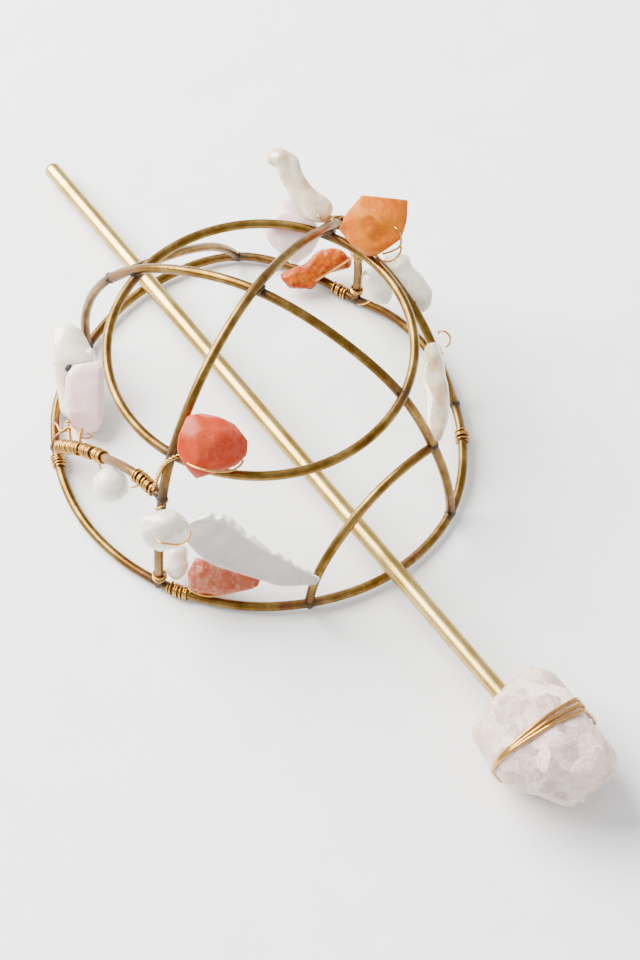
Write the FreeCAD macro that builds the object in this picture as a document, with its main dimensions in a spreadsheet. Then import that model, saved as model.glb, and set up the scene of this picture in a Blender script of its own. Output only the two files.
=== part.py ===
import FreeCAD, Part
import math
import os

# A bun cage: an openwork wire dome that sits over a hair bun, with stones and pearls bound on
# with thin wire, and a long stick with a raw stone end that slides through the dome.
# Millimetres, Z up. The floor it lies on is Z = 0, the origin is under the middle of the rim,
# and +X runs along the stick towards its stone end.

Vector = FreeCAD.Vector
UP = Vector(0, 0, 1)

doc = FreeCAD.newDocument("BunCage")

# Driving dimensions

SIZES = [
    ("frame_wire", 1.7, "diameter of the round brass wire of the cage"),
    ("bind_wire", 0.4, "diameter of the thin binding wire"),
    ("wrap_wire", 0.6, "diameter of the wire round the quartz"),
    ("wrap_gap", 0.1, "space between a binding wire and what it is wound on"),
    ("solder_size", 2.5, "diameter of a solder joint"),
    ("rim_height", 1.45, "height of the rim's centreline above the floor"),
    ("rim_middle_x", -0.1, "middle of the rim, along the stick"),
    ("rim_middle_y", -0.5, "middle of the rim, across the stick"),
    ("ring_radius", 26.5, "radius of the upper ring's centreline"),
    ("ring_height", 33.2, "height of the upper ring"),
    ("ring_middle_x", 3.7, "middle of the upper ring, along the stick"),
    ("ring_middle_y", -1.7, "middle of the upper ring, across the stick"),
    ("rod_diameter", 3.2, "diameter of the stick's rod"),
    ("rod_length", 156.0, "length of the rod from its tip to its end inside the quartz"),
    ("rod_tip_round", 1.3, "rounding of the rod's tip"),
    ("rod_tip_x", -75.0, "where the rod's tip lies"),
    ("rod_tip_height", 2.6, "height of the rod's centreline at its tip"),
    ("rod_slope", 2.55, "angle in degrees by which the rod climbs towards the quartz"),
    ("bore_gap", 0.1, "space round the rod in the quartz"),
    ("bore_start_x", 66.0, "where the drill for the quartz's bore starts"),
]

sheet = doc.addObject("Spreadsheet::Sheet", "Sizes")
for line, (alias, amount, meaning) in enumerate(SIZES, start=1):
    sheet.set(f"A{line}", meaning)
    sheet.set(f"B{line}", str(amount))
    sheet.setAlias(f"B{line}", alias)
doc.recompute()


def size(alias):
    """A driving dimension from the sheet."""
    return float(getattr(sheet, alias))


# Paths: chains of tangent arcs through a few points

def arc_edge(start, heading, end):
    """One arc, or a straight edge, that leaves start along heading and ends at end."""
    chord = end - start
    length = chord.Length
    direction = chord / length
    aside = heading - direction * heading.dot(direction)
    if aside.Length < 1e-4:
        return Part.makeLine(start, end), direction
    turn = math.atan2(aside.Length, heading.dot(direction))
    bulge = aside / aside.Length * (length / 2 * math.tan(turn / 2))
    edge = Part.Arc(start, start + chord / 2 + bulge, end).toShape()
    return edge, direction * (2 * heading.dot(direction)) - heading


def headings(points, closed):
    """The heading at each point: along the circle through it and its two neighbours."""
    count = len(points)
    found = []
    for index, here in enumerate(points):
        if not closed and index in (0, count - 1):
            found.append(None)
            continue
        before = here - points[index - 1]
        after = points[(index + 1) % count] - here
        heading = before * (after.Length / before.Length) + after * (before.Length / after.Length)
        found.append(heading / heading.Length)
    if not closed:
        for end, neighbour in ((0, 1), (-1, -2)):
            chord = points[1] - points[0] if end == 0 else points[-1] - points[-2]
            chord = chord / chord.Length
            found[end] = chord * (2 * found[neighbour].dot(chord)) - found[neighbour]
    return found


def arc_chain(points, closed=False):
    """Edges of a smooth path: between two points, a pair of arcs that meet without a kink."""
    ways = headings(points, closed)
    edges = []
    for index in range(len(points) if closed else len(points) - 1):
        start, end = points[index], points[(index + 1) % len(points)]
        leave, arrive = ways[index], ways[(index + 1) % len(points)]
        span = end - start
        both = leave + arrive
        spread = 2 * (1 - leave.dot(arrive))
        if spread < 1e-6:
            reach = span.Length / 2
        else:
            reach = (math.sqrt(span.dot(both) ** 2 + spread * span.dot(span)) - span.dot(both)) / spread
        middle = (start + leave * reach + end - arrive * reach) / 2
        first, heading = arc_edge(start, leave, middle)
        second, heading = arc_edge(middle, heading, end)
        edges += [first, second]
    return edges


# Steps in which a place is looked for along a path
SEARCH_STEPS = 400


class Path:
    """A wire's centreline: its edges in order, with places found by distance along it."""

    def __init__(self, edges):
        self.edges = edges
        self.length = sum(edge.Length for edge in edges)

    def place(self, distance):
        """Point and heading at a distance from the start."""
        for edge in self.edges:
            if distance <= edge.Length or edge is self.edges[-1]:
                where = edge.getParameterByLength(max(0.0, min(distance, edge.Length)))
                return edge.valueAt(where), edge.tangentAt(where)
            distance -= edge.Length

    def nearest(self, target):
        """Distance along the path of its point nearest to a target."""
        steps = [self.length * step / SEARCH_STEPS for step in range(SEARCH_STEPS + 1)]
        return min(steps, key=lambda step: (self.place(step)[0] - target).Length)


# Rim: centreline radius at each angle round the middle, bent by hand and so a little uneven

RIM_ROWS = [
    # angle, radius
    (6, 39.5),
    (27, 39.6),
    (51, 37.8),
    (62.7, 36.9),
    (87, 36.3),
    (101, 35.7),
    (113, 34.7),
    (128, 36.4),
    (151.7, 40.1),
    (174, 39.4),
    (205.1, 37.7),
    (228, 38.1),
    (241.5, 37.6),
    (263, 37.3),
    (297.5, 37.1),
    (320, 37.6),
    (339.2, 38.2),
]


def rim_point(angle, radius):
    """Point of the rim's centreline."""
    turn = math.radians(angle)
    return Vector(
        size("rim_middle_x") + radius * math.cos(turn),
        size("rim_middle_y") + radius * math.sin(turn),
        size("rim_height"),
    )


RIM_RADIUS = dict(RIM_ROWS)
FEET = {
    "arch_a_front": rim_point(297.5, RIM_RADIUS[297.5]),
    "arch_a_back": rim_point(113, RIM_RADIUS[113]),
    "arch_c_left": rim_point(205.1, RIM_RADIUS[205.1]),
    "arch_c_right": rim_point(27, RIM_RADIUS[27]),
    "spur_back": rim_point(151.7, RIM_RADIUS[151.7]),
    "spur_left": rim_point(241.5, RIM_RADIUS[241.5]),
    "spur_front": rim_point(339.2, RIM_RADIUS[339.2]),
    "spur_right": rim_point(62.7, RIM_RADIUS[62.7]),
}

# Arches and spurs: each rises in an upright or slightly leaning plane from its foot.
# Columns: station along the line to the far foot, height above the rim's centreline.

ARCH_A_ROWS = [(0, 0), (1.8, 15.9), (6.2, 30.0), (14.5, 39.3), (24.5, 44.3), (35, 45.5),
               (46, 42.8), (57, 36.9), (65.7, 30.0), (70.9, 18.6), (71.6, 0)]
ARCH_C_ROWS = [(0, 0), (2.5, 16.5), (10.8, 30.2), (23.4, 39.2), (39.4, 43.4), (54.7, 39.8),
               (66.3, 31.8), (73.1, 20.1), (77.5, 0)]
SPUR_BACK_ROWS = [(0, 0), (5, 7.8), (12.7, 14.7), (20.7, 19.8), (33.3, 26.4)]
SPUR_LEFT_ROWS = [(0, 0), (6.9, 7.9), (17.1, 16.6), (26.5, 22.5), (33.7, 23.9)]
SPUR_FRONT_ROWS = [(0, 0), (2.2, 7.8), (8.2, 14.9), (15.4, 19.2), (22.5, 20.4), (29.4, 19.7)]
SPUR_RIGHT_ROWS = [(0, 0), (4.7, 7.7), (11.1, 15.0), (20, 18.8), (29.8, 18.4)]

ARCH_C_LEAN = 0.022


def upright_path(foot, far, rows, lean=0.0):
    """Path from a foot through the rows, stretched so that its last row lands on far."""
    across = Vector(far.x - foot.x, far.y - foot.y, 0)
    step = across / rows[-1][0]
    aside = Vector(across.y, -across.x, 0) / across.Length
    points = [foot + step * station + (UP + aside * lean) * height for station, height in rows]
    return Path(arc_chain(points))


paths = {
    "rim": Path(arc_chain([rim_point(angle, radius) for angle, radius in RIM_ROWS], closed=True)),
    "arch_a": upright_path(FEET["arch_a_front"], FEET["arch_a_back"], ARCH_A_ROWS),
    "arch_c": upright_path(FEET["arch_c_left"], FEET["arch_c_right"], ARCH_C_ROWS, ARCH_C_LEAN),
}


# Each spur ends on an arch, at a distance along that arch from its first foot.

SPURS = [
    # name, foot, arch, distance along the arch, rows
    ("spur_back", "arch_c", 28.4, SPUR_BACK_ROWS),
    ("spur_left", "arch_a", 24.2, SPUR_LEFT_ROWS),
    ("spur_front", "arch_c", 108.8, SPUR_FRONT_ROWS),
    ("spur_right", "arch_a", 113.8, SPUR_RIGHT_ROWS),
]

for name, arch, distance, rows in SPURS:
    landing = paths[arch].place(distance)[0]
    paths[name] = upright_path(FEET[name], landing, rows)


# Solids of the cage: every wire swept along its path, the ring as a torus, solder at the joints

def frame_wire(name, path):
    """The cage's wire swept along a path."""
    centreline = doc.addObject("Part::Feature", f"{name}_path")
    centreline.Shape = Part.Wire(path.edges)
    start, heading = path.place(0)
    profile = doc.addObject("Part::Circle", f"{name}_profile")
    profile.Placement = FreeCAD.Placement(start, FreeCAD.Rotation(UP, heading))
    profile.setExpression("Radius", "Sizes.frame_wire / 2")
    sweep = doc.addObject("Part::Sweep", f"{name}_wire")
    sweep.Sections = [profile]
    sweep.Spine = (centreline, [f"Edge{number}" for number in range(1, len(path.edges) + 1)])
    sweep.Solid = True
    sweep.Frenet = True
    return sweep


# A bead of solder gathers a little above the middle of its joint.
BEAD_RISE = 0.12


def solder(name, middle):
    """A joint's bead of solder."""
    bead = doc.addObject("Part::Sphere", name)
    bead.setExpression("Radius", "Sizes.solder_size / 2")
    bead.Placement = FreeCAD.Placement(middle + UP * BEAD_RISE, FreeCAD.Rotation())
    return bead


ring = doc.addObject("Part::Torus", "ring_wire")
ring.setExpression("Radius1", "Sizes.ring_radius")
ring.setExpression("Radius2", "Sizes.frame_wire / 2")
RING_MIDDLE = Vector(size("ring_middle_x"), size("ring_middle_y"), size("ring_height"))
ring.Placement = FreeCAD.Placement(RING_MIDDLE, FreeCAD.Rotation())


def ring_point(near):
    """Point of the ring's centreline nearest to a place."""
    flat = Vector(near.x - RING_MIDDLE.x, near.y - RING_MIDDLE.y, 0)
    return RING_MIDDLE + flat / flat.Length * size("ring_radius")


def crossing(path, first, last):
    """Middle of the closest approach between the ring and a stretch of an arch."""
    steps = [first + (last - first) * step / SEARCH_STEPS for step in range(SEARCH_STEPS + 1)]
    best = min(steps, key=lambda step: (path.place(step)[0] - ring_point(path.place(step)[0])).Length)
    on_arch = path.place(best)[0]
    return (on_arch + ring_point(on_arch)) / 2


# The stretch of the first arch that passes over the middle of the dome
OVER_THE_MIDDLE = (50.0, 90.0)


def arch_crossing():
    """Middle of the closest approach between the two arches, over the middle of the dome."""
    best = None
    first, last = OVER_THE_MIDDLE
    for step in range(SEARCH_STEPS // 2 + 1):
        on_a = paths["arch_a"].place(first + (last - first) * step / (SEARCH_STEPS // 2))[0]
        on_c = paths["arch_c"].place(paths["arch_c"].nearest(on_a))[0]
        if best is None or (on_a - on_c).Length < best[0]:
            best = ((on_a - on_c).Length, (on_a + on_c) / 2)
    return best[1]


joints = dict(FEET)
for name, arch, distance, rows in SPURS:
    joints[f"{name}_end"] = paths[arch].place(distance)[0]
joints["ring_on_a_front"] = crossing(paths["arch_a"], 20, 50)
joints["ring_on_a_back"] = crossing(paths["arch_a"], 85, 110)
joints["ring_on_c_left"] = crossing(paths["arch_c"], 20, 50)
joints["ring_on_c_right"] = crossing(paths["arch_c"], 85, 110)
joints["arches"] = arch_crossing()

wires = [frame_wire(name, path) for name, path in paths.items()]
beads = [solder(f"{name}_solder", middle) for name, middle in joints.items()]
cage_frame = doc.addObject("Part::MultiFuse", "cage_frame")
cage_frame.Shapes = wires + [ring] + beads


# Stones and pearls: faceted rings of corners along a line, closed by a flat at each end

def skin(rings, closed=False):
    """Closed solid through rings with equal numbers of corners, or round a closed row of rings."""
    corners = len(rings[0])
    points = [point for ring_points in rings for point in ring_points]
    faces = []
    for row in range(len(rings) if closed else len(rings) - 1):
        for corner in range(corners):
            low, high = row * corners, (row + 1) % len(rings) * corners
            after = (corner + 1) % corners
            faces.append((low + corner, low + after, high + after))
            faces.append((low + corner, high + after, high + corner))
    last = (len(rings) - 1) * corners
    for corner in range(1, corners - 1 if not closed else 0):
        faces.append((0, corner + 1, corner))
        faces.append((last, last + corner, last + corner + 1))
    shell = Part.Shape()
    shell.makeShapeFromMesh((points, faces), 0.001)
    return Part.Solid(Part.Shell(shell.Faces))


def stone_shape(rows, corners, thickness, twist):
    """Stone about its own origin: X is its length, Y its width and Z its thickness."""
    rings = []
    for station, half_width, shift in rows:
        turns = [2 * math.pi * corner / corners + twist for corner in range(corners)]
        rings.append([
            Vector(station, shift + half_width * math.cos(turn),
                   half_width * thickness * math.sin(turn))
            for turn in turns
        ])
    return skin(rings)


# The bound stones turn their broad side up and a little to the front. The one on the leg of
# the front arch leans against it, so its broad side is steeper.
FACE = Vector(0.43, -0.30, 0.85)
STEEP_FACE = Vector(0.77, -0.54, 0.34)

# Columns of each stone's rows: station along its length, half width, sideways shift
STONES = [
    # label, middle, lengthwise direction, broad side, corners, thickness to width, twist, rows
    ("stick_pearl", (-17.8, 21.7, 37.7), (0.89, -0.02, -0.45), FACE, 10, 0.75, 0.3,
     [(-8.2, 0.9, -0.9), (-7.3, 1.9, -0.9), (-4.8, 2.2, -0.1), (-1.9, 2.0, -0.5),
      (1.0, 2.2, -0.3), (4.2, 2.7, 0.4), (6.5, 2.0, 0.9), (7.3, 0.9, 0.9)]),
    ("rose_stone_back", (-15.9, 18.4, 29.3), (0.82, -0.27, -0.51), FACE, 9, 0.7, 0.2,
     [(-5.9, 0.9, 0.5), (-4.6, 2.4, 0.1), (-1.8, 4.2, -0.3), (1.0, 4.7, 0.3),
      (3.5, 3.5, 0.1), (5.3, 1.2, -0.6)]),
    ("carnelian_chip", (-22.2, 28.1, 4.4), (0.30, 0.94, 0.18), FACE, 6, 0.75, 0.4,
     [(-6.8, 0.9, 0.9), (-4.9, 2.1, -0.5), (-1.8, 2.4, -0.7), (1.3, 2.3, 0.6),
      (4.2, 2.6, 0.7), (6.5, 1.1, -0.4)]),
    ("peach_stone", (-3.8, 28.0, 38.2), (0.07, 0.95, 0.30), FACE, 7, 0.65, 0.25,
     [(-6.2, 1.1, 1.6), (-4.2, 4.1, 0.0), (-0.8, 5.2, 0.0), (2.2, 5.1, 0.1),
      (5.0, 2.9, -0.1), (7.1, 0.7, 0.1)]),
    ("moonstone_outer", (-2.3, 34.5, 17.2), (0.90, 0.05, -0.43), FACE, 10, 0.8, 0.1,
     [(-6.4, 1.0, 0.0), (-4.5, 2.8, 0.1), (-1.4, 2.7, -0.3), (1.6, 2.9, 0.0),
      (4.5, 2.7, 0.3), (6.4, 1.1, 0.0)]),
    ("moonstone_inner", (-9.7, 33.7, 7.8), (0.89, -0.04, -0.46), FACE, 10, 0.8, 0.1,
     [(-4.0, 0.6, -0.2), (-2.7, 1.9, 0.0), (-0.6, 2.4, 0.0), (1.5, 2.3, 0.0),
      (3.3, 0.9, 0.1)]),
    ("long_pearl", (18.9, 25.1, 13.8), (0.79, -0.61, 0.0), FACE, 10, 0.8, 0.2,
     [(-10.8, 0.8, -0.3), (-9.0, 1.7, -0.3), (-5.0, 2.3, -0.3), (-1.0, 2.6, 0.0),
      (3.0, 2.6, 0.3), (6.5, 2.0, 0.4), (9.6, 1.6, 0.0), (10.8, 0.8, -0.3)]),
    ("left_pearl", (-30.8, -22.6, 6.8), (0.67, -0.52, -0.52), FACE, 10, 0.7, 0.3,
     [(-6.0, 0.9, -0.3), (-5.0, 2.3, -0.2), (-2.1, 3.7, 0.3), (0.8, 4.0, 0.9),
      (2.2, 2.0, -0.7), (4.4, 1.0, -1.2), (7.6, 0.8, -0.6), (11.3, 0.4, 0.3)]),
    ("rose_stone_left", (-22.2, -23.9, 4.9), (0.71, -0.47, -0.52), FACE, 9, 0.75, 0.5,
     [(-6.5, 1.5, 1.2), (-5.0, 3.0, 0.5), (-2.0, 3.5, -0.1), (1.5, 3.5, -0.3),
      (4.7, 3.2, 0.0), (6.7, 1.6, 0.5)]),
    ("moonstone_bead", (3.6, -33.7, 17.2), (0.80, 0.57, -0.20), FACE, 12, 1.0, 0.0,
     [(-3.0, 0.8, 0.0), (-2.2, 2.2, 0.0), (-0.8, 2.95, 0.0), (0.8, 2.95, 0.0),
      (2.2, 2.2, 0.0), (3.0, 0.8, 0.0)]),
    ("coral_stone", (18.5, -22.0, 38.8), (0.67, 0.74, -0.07), FACE, 9, 0.7, 0.3,
     [(-6.0, 1.1, 1.2), (-4.6, 3.5, 0.8), (-2.0, 5.1, -0.2), (0.8, 5.1, -0.4),
      (3.6, 3.9, 0.0), (5.4, 2.3, 0.3), (6.4, 0.8, 0.3)]),
    ("front_moonstone", (19.1, -33.0, 22.1), (0.58, 0.82, 0.0), STEEP_FACE, 10, 0.75, 0.1,
     [(-4.6, 1.0, 0.0), (-3.3, 2.7, -0.2), (-0.9, 3.7, -0.1), (1.2, 3.8, 0.3),
      (3.3, 2.7, 0.1), (4.5, 1.1, 0.1)]),
    ("front_pearl", (16.3, -29.2, 4.1), (0.68, -0.51, -0.52), FACE, 10, 0.9, 0.1,
     [(-3.1, 0.9, 0.0), (-2.2, 1.9, 0.0), (-0.4, 2.1, 0.0), (1.7, 1.9, 0.0),
      (3.2, 0.7, 0.0)]),
    ("wing_pearl", (25.4, -21.2, 12.1), (0.80, 0.57, -0.20), FACE, 10, 0.35, 0.2,
     [(-10.4, 1.2, 0.0), (-8.8, 2.8, 0.5), (-5.0, 4.4, 0.6), (-0.4, 3.7, 0.0),
      (4.1, 2.9, -0.4), (8.7, 2.3, -0.5), (12.2, 1.3, 0.1), (14.2, 0.5, 0.5)]),
    ("low_coral_stone", (24.0, -25.6, 4.7), (0.65, 0.76, -0.06), FACE, 6, 0.8, 0.5,
     [(-5.5, 1.1, 0.5), (-4.2, 2.8, 0.3), (-2.4, 3.3, 0.1), (0.4, 2.6, -0.2),
      (3.2, 2.0, -0.2), (5.6, 1.3, 0.0), (7.4, 0.5, 0.4)]),
]


def stone(label, middle, lengthwise, face, corners, thickness, twist, rows):
    """A stone or pearl in its place."""
    feature = doc.addObject("Part::Feature", label)
    feature.Shape = stone_shape(rows, corners, thickness, twist)
    turned = FreeCAD.Rotation(Vector(*lengthwise), Vector(0, 0, 0), face, "XZY")
    feature.Placement = FreeCAD.Placement(Vector(*middle), turned)
    return feature


stones = {row[0]: stone(*row) for row in STONES}


# Stick: a round rod with a rounded tip, and a raw piece of rose quartz bored onto its end

ROD_TIP = Vector(size("rod_tip_x"), 0, size("rod_tip_height"))
ROD_TURN = FreeCAD.Rotation(Vector(0, 1, 0), -size("rod_slope"))
ROD_LINE = FreeCAD.Placement(ROD_TIP, ROD_TURN * FreeCAD.Rotation(Vector(0, 1, 0), 90))

rod_blank = doc.addObject("Part::Cylinder", "rod_blank")
rod_blank.setExpression("Radius", "Sizes.rod_diameter / 2")
rod_blank.setExpression("Height", "Sizes.rod_length")
rod_blank.Placement = ROD_LINE
doc.recompute()
tip_edge = min(
    range(1, len(rod_blank.Shape.Edges) + 1),
    key=lambda number: rod_blank.Shape.Edges[number - 1].CenterOfMass.x
    if rod_blank.Shape.Edges[number - 1].isClosed() else math.inf,
)
stick_rod = doc.addObject("Part::Fillet", "stick_rod")
stick_rod.Base = rod_blank
stick_rod.Edges = [(tip_edge, size("rod_tip_round"), size("rod_tip_round"))]

# Columns: station along the stick, middle across, middle up, half width, half height
QUARTZ_ROWS = [
    (71.4, 1.6, 9.4, 5.4, 4.8),
    (74.8, -0.4, 8.6, 9.4, 8.6),
    (79.5, -0.6, 9.6, 9.8, 9.1),
    (85.5, -0.6, 10.1, 10.0, 8.7),
    (91.0, 1.0, 9.5, 8.6, 8.1),
    (94.6, 2.4, 9.0, 5.6, 6.0),
]
QUARTZ_CORNERS = 8
QUARTZ_REACH = 1 / math.cos(math.pi / QUARTZ_CORNERS)


def quartz_rings():
    """Eight-cornered rings of the quartz, each with a flat side down."""
    rings = []
    for station, across, up, half_width, half_height in QUARTZ_ROWS:
        turns = [math.pi * (2 * corner + 1) / QUARTZ_CORNERS for corner in range(QUARTZ_CORNERS)]
        rings.append([
            Vector(station, across + half_width * QUARTZ_REACH * math.cos(turn),
                   up + half_height * QUARTZ_REACH * math.sin(turn))
            for turn in turns
        ])
    return rings


quartz_blank = doc.addObject("Part::Feature", "quartz_blank")
quartz_blank.Shape = skin(quartz_rings())
bore = doc.addObject("Part::Cylinder", "quartz_bore")
bore.setExpression("Radius", "Sizes.rod_diameter / 2 + Sizes.bore_gap")
bore_start = size("bore_start_x") - size("rod_tip_x")
bore.Height = size("rod_length") + size("bore_gap") - bore_start
bore.Placement = FreeCAD.Placement(ROD_LINE.multVec(UP * bore_start), ROD_LINE.Rotation)
rose_quartz = doc.addObject("Part::Cut", "rose_quartz")
rose_quartz.Base = quartz_blank
rose_quartz.Tool = bore


# Thin wires: five-sided tubes along their bends

def wire_shape(points, diameter, sides=5, closed=False):
    """Tube of flat faces along a line of points."""
    count = len(points)
    rings = []
    side = None
    for index, here in enumerate(points):
        before = points[index - 1] if closed or index else here
        after = points[(index + 1) % count] if closed or index < count - 1 else here
        heading = after - before
        heading = heading / heading.Length
        if side is None:
            side = heading.cross(UP if abs(heading.z) < 0.9 else Vector(1, 0, 0))
        side = side - heading * side.dot(heading)
        side = side / side.Length
        other = heading.cross(side)
        turns = [2 * math.pi * number / sides for number in range(sides)]
        rings.append([
            here + (side * math.cos(turn) + other * math.sin(turn)) * (diameter / 2)
            for turn in turns
        ])
    return skin(rings, closed)


def coil(path, start, turns, pitch, phase, room=0.0, segments=10):
    """Points of a binding wire wound round a path, a little clear of its wire."""
    radius = size("frame_wire") / 2 + size("wrap_gap") + size("bind_wire") / 2 + room
    radius = radius / math.cos(math.pi / segments)
    side = None
    points = []
    for step in range(round(abs(turns) * segments) + 1):
        centre, heading = path.place(start + pitch * step / segments)
        if side is None:
            side = heading.cross(UP if abs(heading.z) < 0.9 else Vector(1, 0, 0))
        side = side - heading * side.dot(heading)
        side = side / side.Length
        other = side.cross(heading)
        turn = phase + math.copysign(2 * math.pi * step / segments, turns)
        points.append(centre + (side * math.cos(turn) + other * math.sin(turn)) * radius)
    return points


def along(joint, path, offset):
    """Distance along a path of a place a little way from a joint."""
    return paths[path].nearest(joints[joint]) + offset


# Binding coils. Columns: label, the wire it is wound on, the joint it is beside, distance from
# that joint along the wire, turns, advance a turn, angle of the first turn
COILS = [
    ("wrap_rim_left", "rim", "spur_left", 2.1, 4, 0.60, 0.5),
    ("wrap_spur_left_foot", "spur_left", "spur_left", 2.0, 13, 0.90, 0.0),
    ("wrap_spur_left_top", "spur_left", "spur_left_end", -7.6, 8, 0.66, 1.0),
    ("wrap_rim_front", "rim", "arch_a_front", 1.8, 7, 0.60, 0.2),
    ("wrap_leg_front", "arch_a", "arch_a_front", 1.9, 2, 0.65, 1.4),
    ("wrap_arch_back", "arch_a", "ring_on_a_back", 2.6, 3, 0.65, 0.3),
    ("wrap_leg_back_top", "arch_a", "spur_right_end", 1.9, 4, 0.66, 0.9),
    ("wrap_leg_back_foot", "arch_a", "arch_a_back", -3.2, 2, 0.62, 0.4),
    ("wrap_rim_back", "rim", "arch_a_back", 1.9, 5, 0.62, 0.7),
    ("wrap_spur_right", "spur_right", "spur_right", 10.6, 3, 0.62, 0.1),
    ("wrap_rim_right", "rim", "spur_right", -8.5, 4, 0.60, 0.6),
]

wraps = {}
for label, carrier, joint, offset, turns, pitch, phase in COILS:
    wrap = doc.addObject("Part::Feature", label)
    line = coil(paths[carrier], along(joint, carrier, offset), turns, pitch, phase)
    wrap.Shape = wire_shape(line, size("bind_wire"))
    wraps[label] = wrap


# Round the quartz: three turns of thicker wire, each following the stone's own section
# Columns: label, where the turn crosses the stick's line
QUARTZ_TURNS = [("quartz_wrap_inner", 82.4), ("quartz_wrap_middle", 83.2), ("quartz_wrap_outer", 84.0)]
QUARTZ_TURN_LEAN = Vector(1.0, -0.03, -0.05)
QUARTZ_TURN_HEIGHT = 9.5
SHARPEST_REACH = 0.75
SHORTEST_BEND = 0.2


def round_the_quartz(crossing_x):
    """Closed line that follows the quartz's leaning section, just clear of its faces."""
    normal = QUARTZ_TURN_LEAN / QUARTZ_TURN_LEAN.Length
    middle = Vector(crossing_x, 0, QUARTZ_TURN_HEIGHT)
    section = quartz_blank.Shape.slice(normal, normal.dot(middle))[0]
    corners = [vertex.Point for vertex in Part.Wire(Part.sortEdges(section.Edges)[0]).OrderedVertexes]
    heart = sum(corners, Vector()) / len(corners)
    clear = size("wrap_wire") / 2 + size("wrap_gap")
    line = []
    for index, corner in enumerate(corners):
        before = corner - corners[index - 1]
        after = corners[(index + 1) % len(corners)] - corner
        out_before, out_after = before.cross(normal), after.cross(normal)
        for out in (out_before, out_after):
            out.normalize()
            if out.dot(corner - heart) < 0:
                out.multiply(-1)
        both = out_before + out_after
        both.normalize()
        for out in (out_before, both, out_after):
            bend = corner + out * (clear / max(SHARPEST_REACH, out.dot(both)))
            if not line or (bend - line[-1]).Length > SHORTEST_BEND:
                line.append(bend)
    return line


for label, crossing_x in QUARTZ_TURNS:
    turn = doc.addObject("Part::Feature", label)
    turn.Shape = wire_shape(round_the_quartz(crossing_x), size("wrap_wire"), closed=True)
    wraps[label] = turn


# Parts of the bun cage, checked and written

pieces = [cage_frame, stick_rod, rose_quartz, *stones.values(), *wraps.values()]
doc.recompute()
for item in doc.Objects:
    if "Invalid" in item.State or "Error" in item.State:
        raise RuntimeError(f"{item.Label}: {item.State}")
for piece in pieces:
    if piece.Shape.isNull() or not piece.Shape.isValid() or len(piece.Shape.Solids) != 1:
        raise RuntimeError(f"{piece.Label} isn't one valid solid")

os.makedirs("parts", exist_ok=True)
for piece in pieces:
    piece.Shape.exportStep(f"parts/{piece.Label}.step")
    print(piece.Label, round(piece.Shape.Volume, 1))
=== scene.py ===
import logging
import math
from dataclasses import dataclass, field
from enum import Enum

import bpy
import numpy as np
from mathutils import Matrix


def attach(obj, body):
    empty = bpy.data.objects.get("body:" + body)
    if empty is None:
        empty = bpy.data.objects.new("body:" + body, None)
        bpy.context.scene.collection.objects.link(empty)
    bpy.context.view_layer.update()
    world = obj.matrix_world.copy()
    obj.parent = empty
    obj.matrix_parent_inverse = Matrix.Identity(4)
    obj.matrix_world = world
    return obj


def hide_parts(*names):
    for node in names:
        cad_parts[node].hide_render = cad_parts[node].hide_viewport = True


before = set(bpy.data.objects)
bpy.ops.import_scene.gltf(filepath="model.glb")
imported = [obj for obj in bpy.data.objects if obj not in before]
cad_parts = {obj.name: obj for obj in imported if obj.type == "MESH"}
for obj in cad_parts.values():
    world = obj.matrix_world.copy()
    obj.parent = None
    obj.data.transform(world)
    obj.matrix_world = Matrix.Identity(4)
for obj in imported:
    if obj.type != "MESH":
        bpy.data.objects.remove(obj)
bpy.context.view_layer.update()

log = logging.getLogger("bun_cage")

MM = 0.001
TURN = 2 * math.pi
UP = np.array([0.0, 0.0, 1.0])
SMALLEST_LENGTH = 1e-12     # keeps a division by a length from failing
SHARPEST_SPAN = 0.05        # the least cos squared that a smooth line's span may have
RIPPLE_SPREAD = (0.7, 1.4)  # how far the sines' wavelengths differ
RIPPLE_PEAK = 1.4           # brings a mean of sines to about 1
THREAD_NOSE = (0.0, 0.08, 0.3, 0.65)  # stations of a rounded end, as shares of the radius
THREAD_TIP = 0.003          # the least share of the radius squared, at the very end
THINNEST = 0.02             # the least half width in a loft, in millimetres


# --------------------------------------------------------------------------- geometry

def unit(vectors: np.ndarray) -> np.ndarray:
    """Vectors scaled to length one."""
    return vectors / np.maximum(np.linalg.norm(vectors, axis=-1, keepdims=True), SMALLEST_LENGTH)


def smoothstep(low: float, high: float, value: np.ndarray) -> np.ndarray:
    """Rises from 0 at low to 1 at high with level ends: t t (3 - 2 t)."""
    part = np.clip((value - low) / (high - low), 0.0, 1.0)
    return part * part * (3 - 2 * part)


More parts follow.
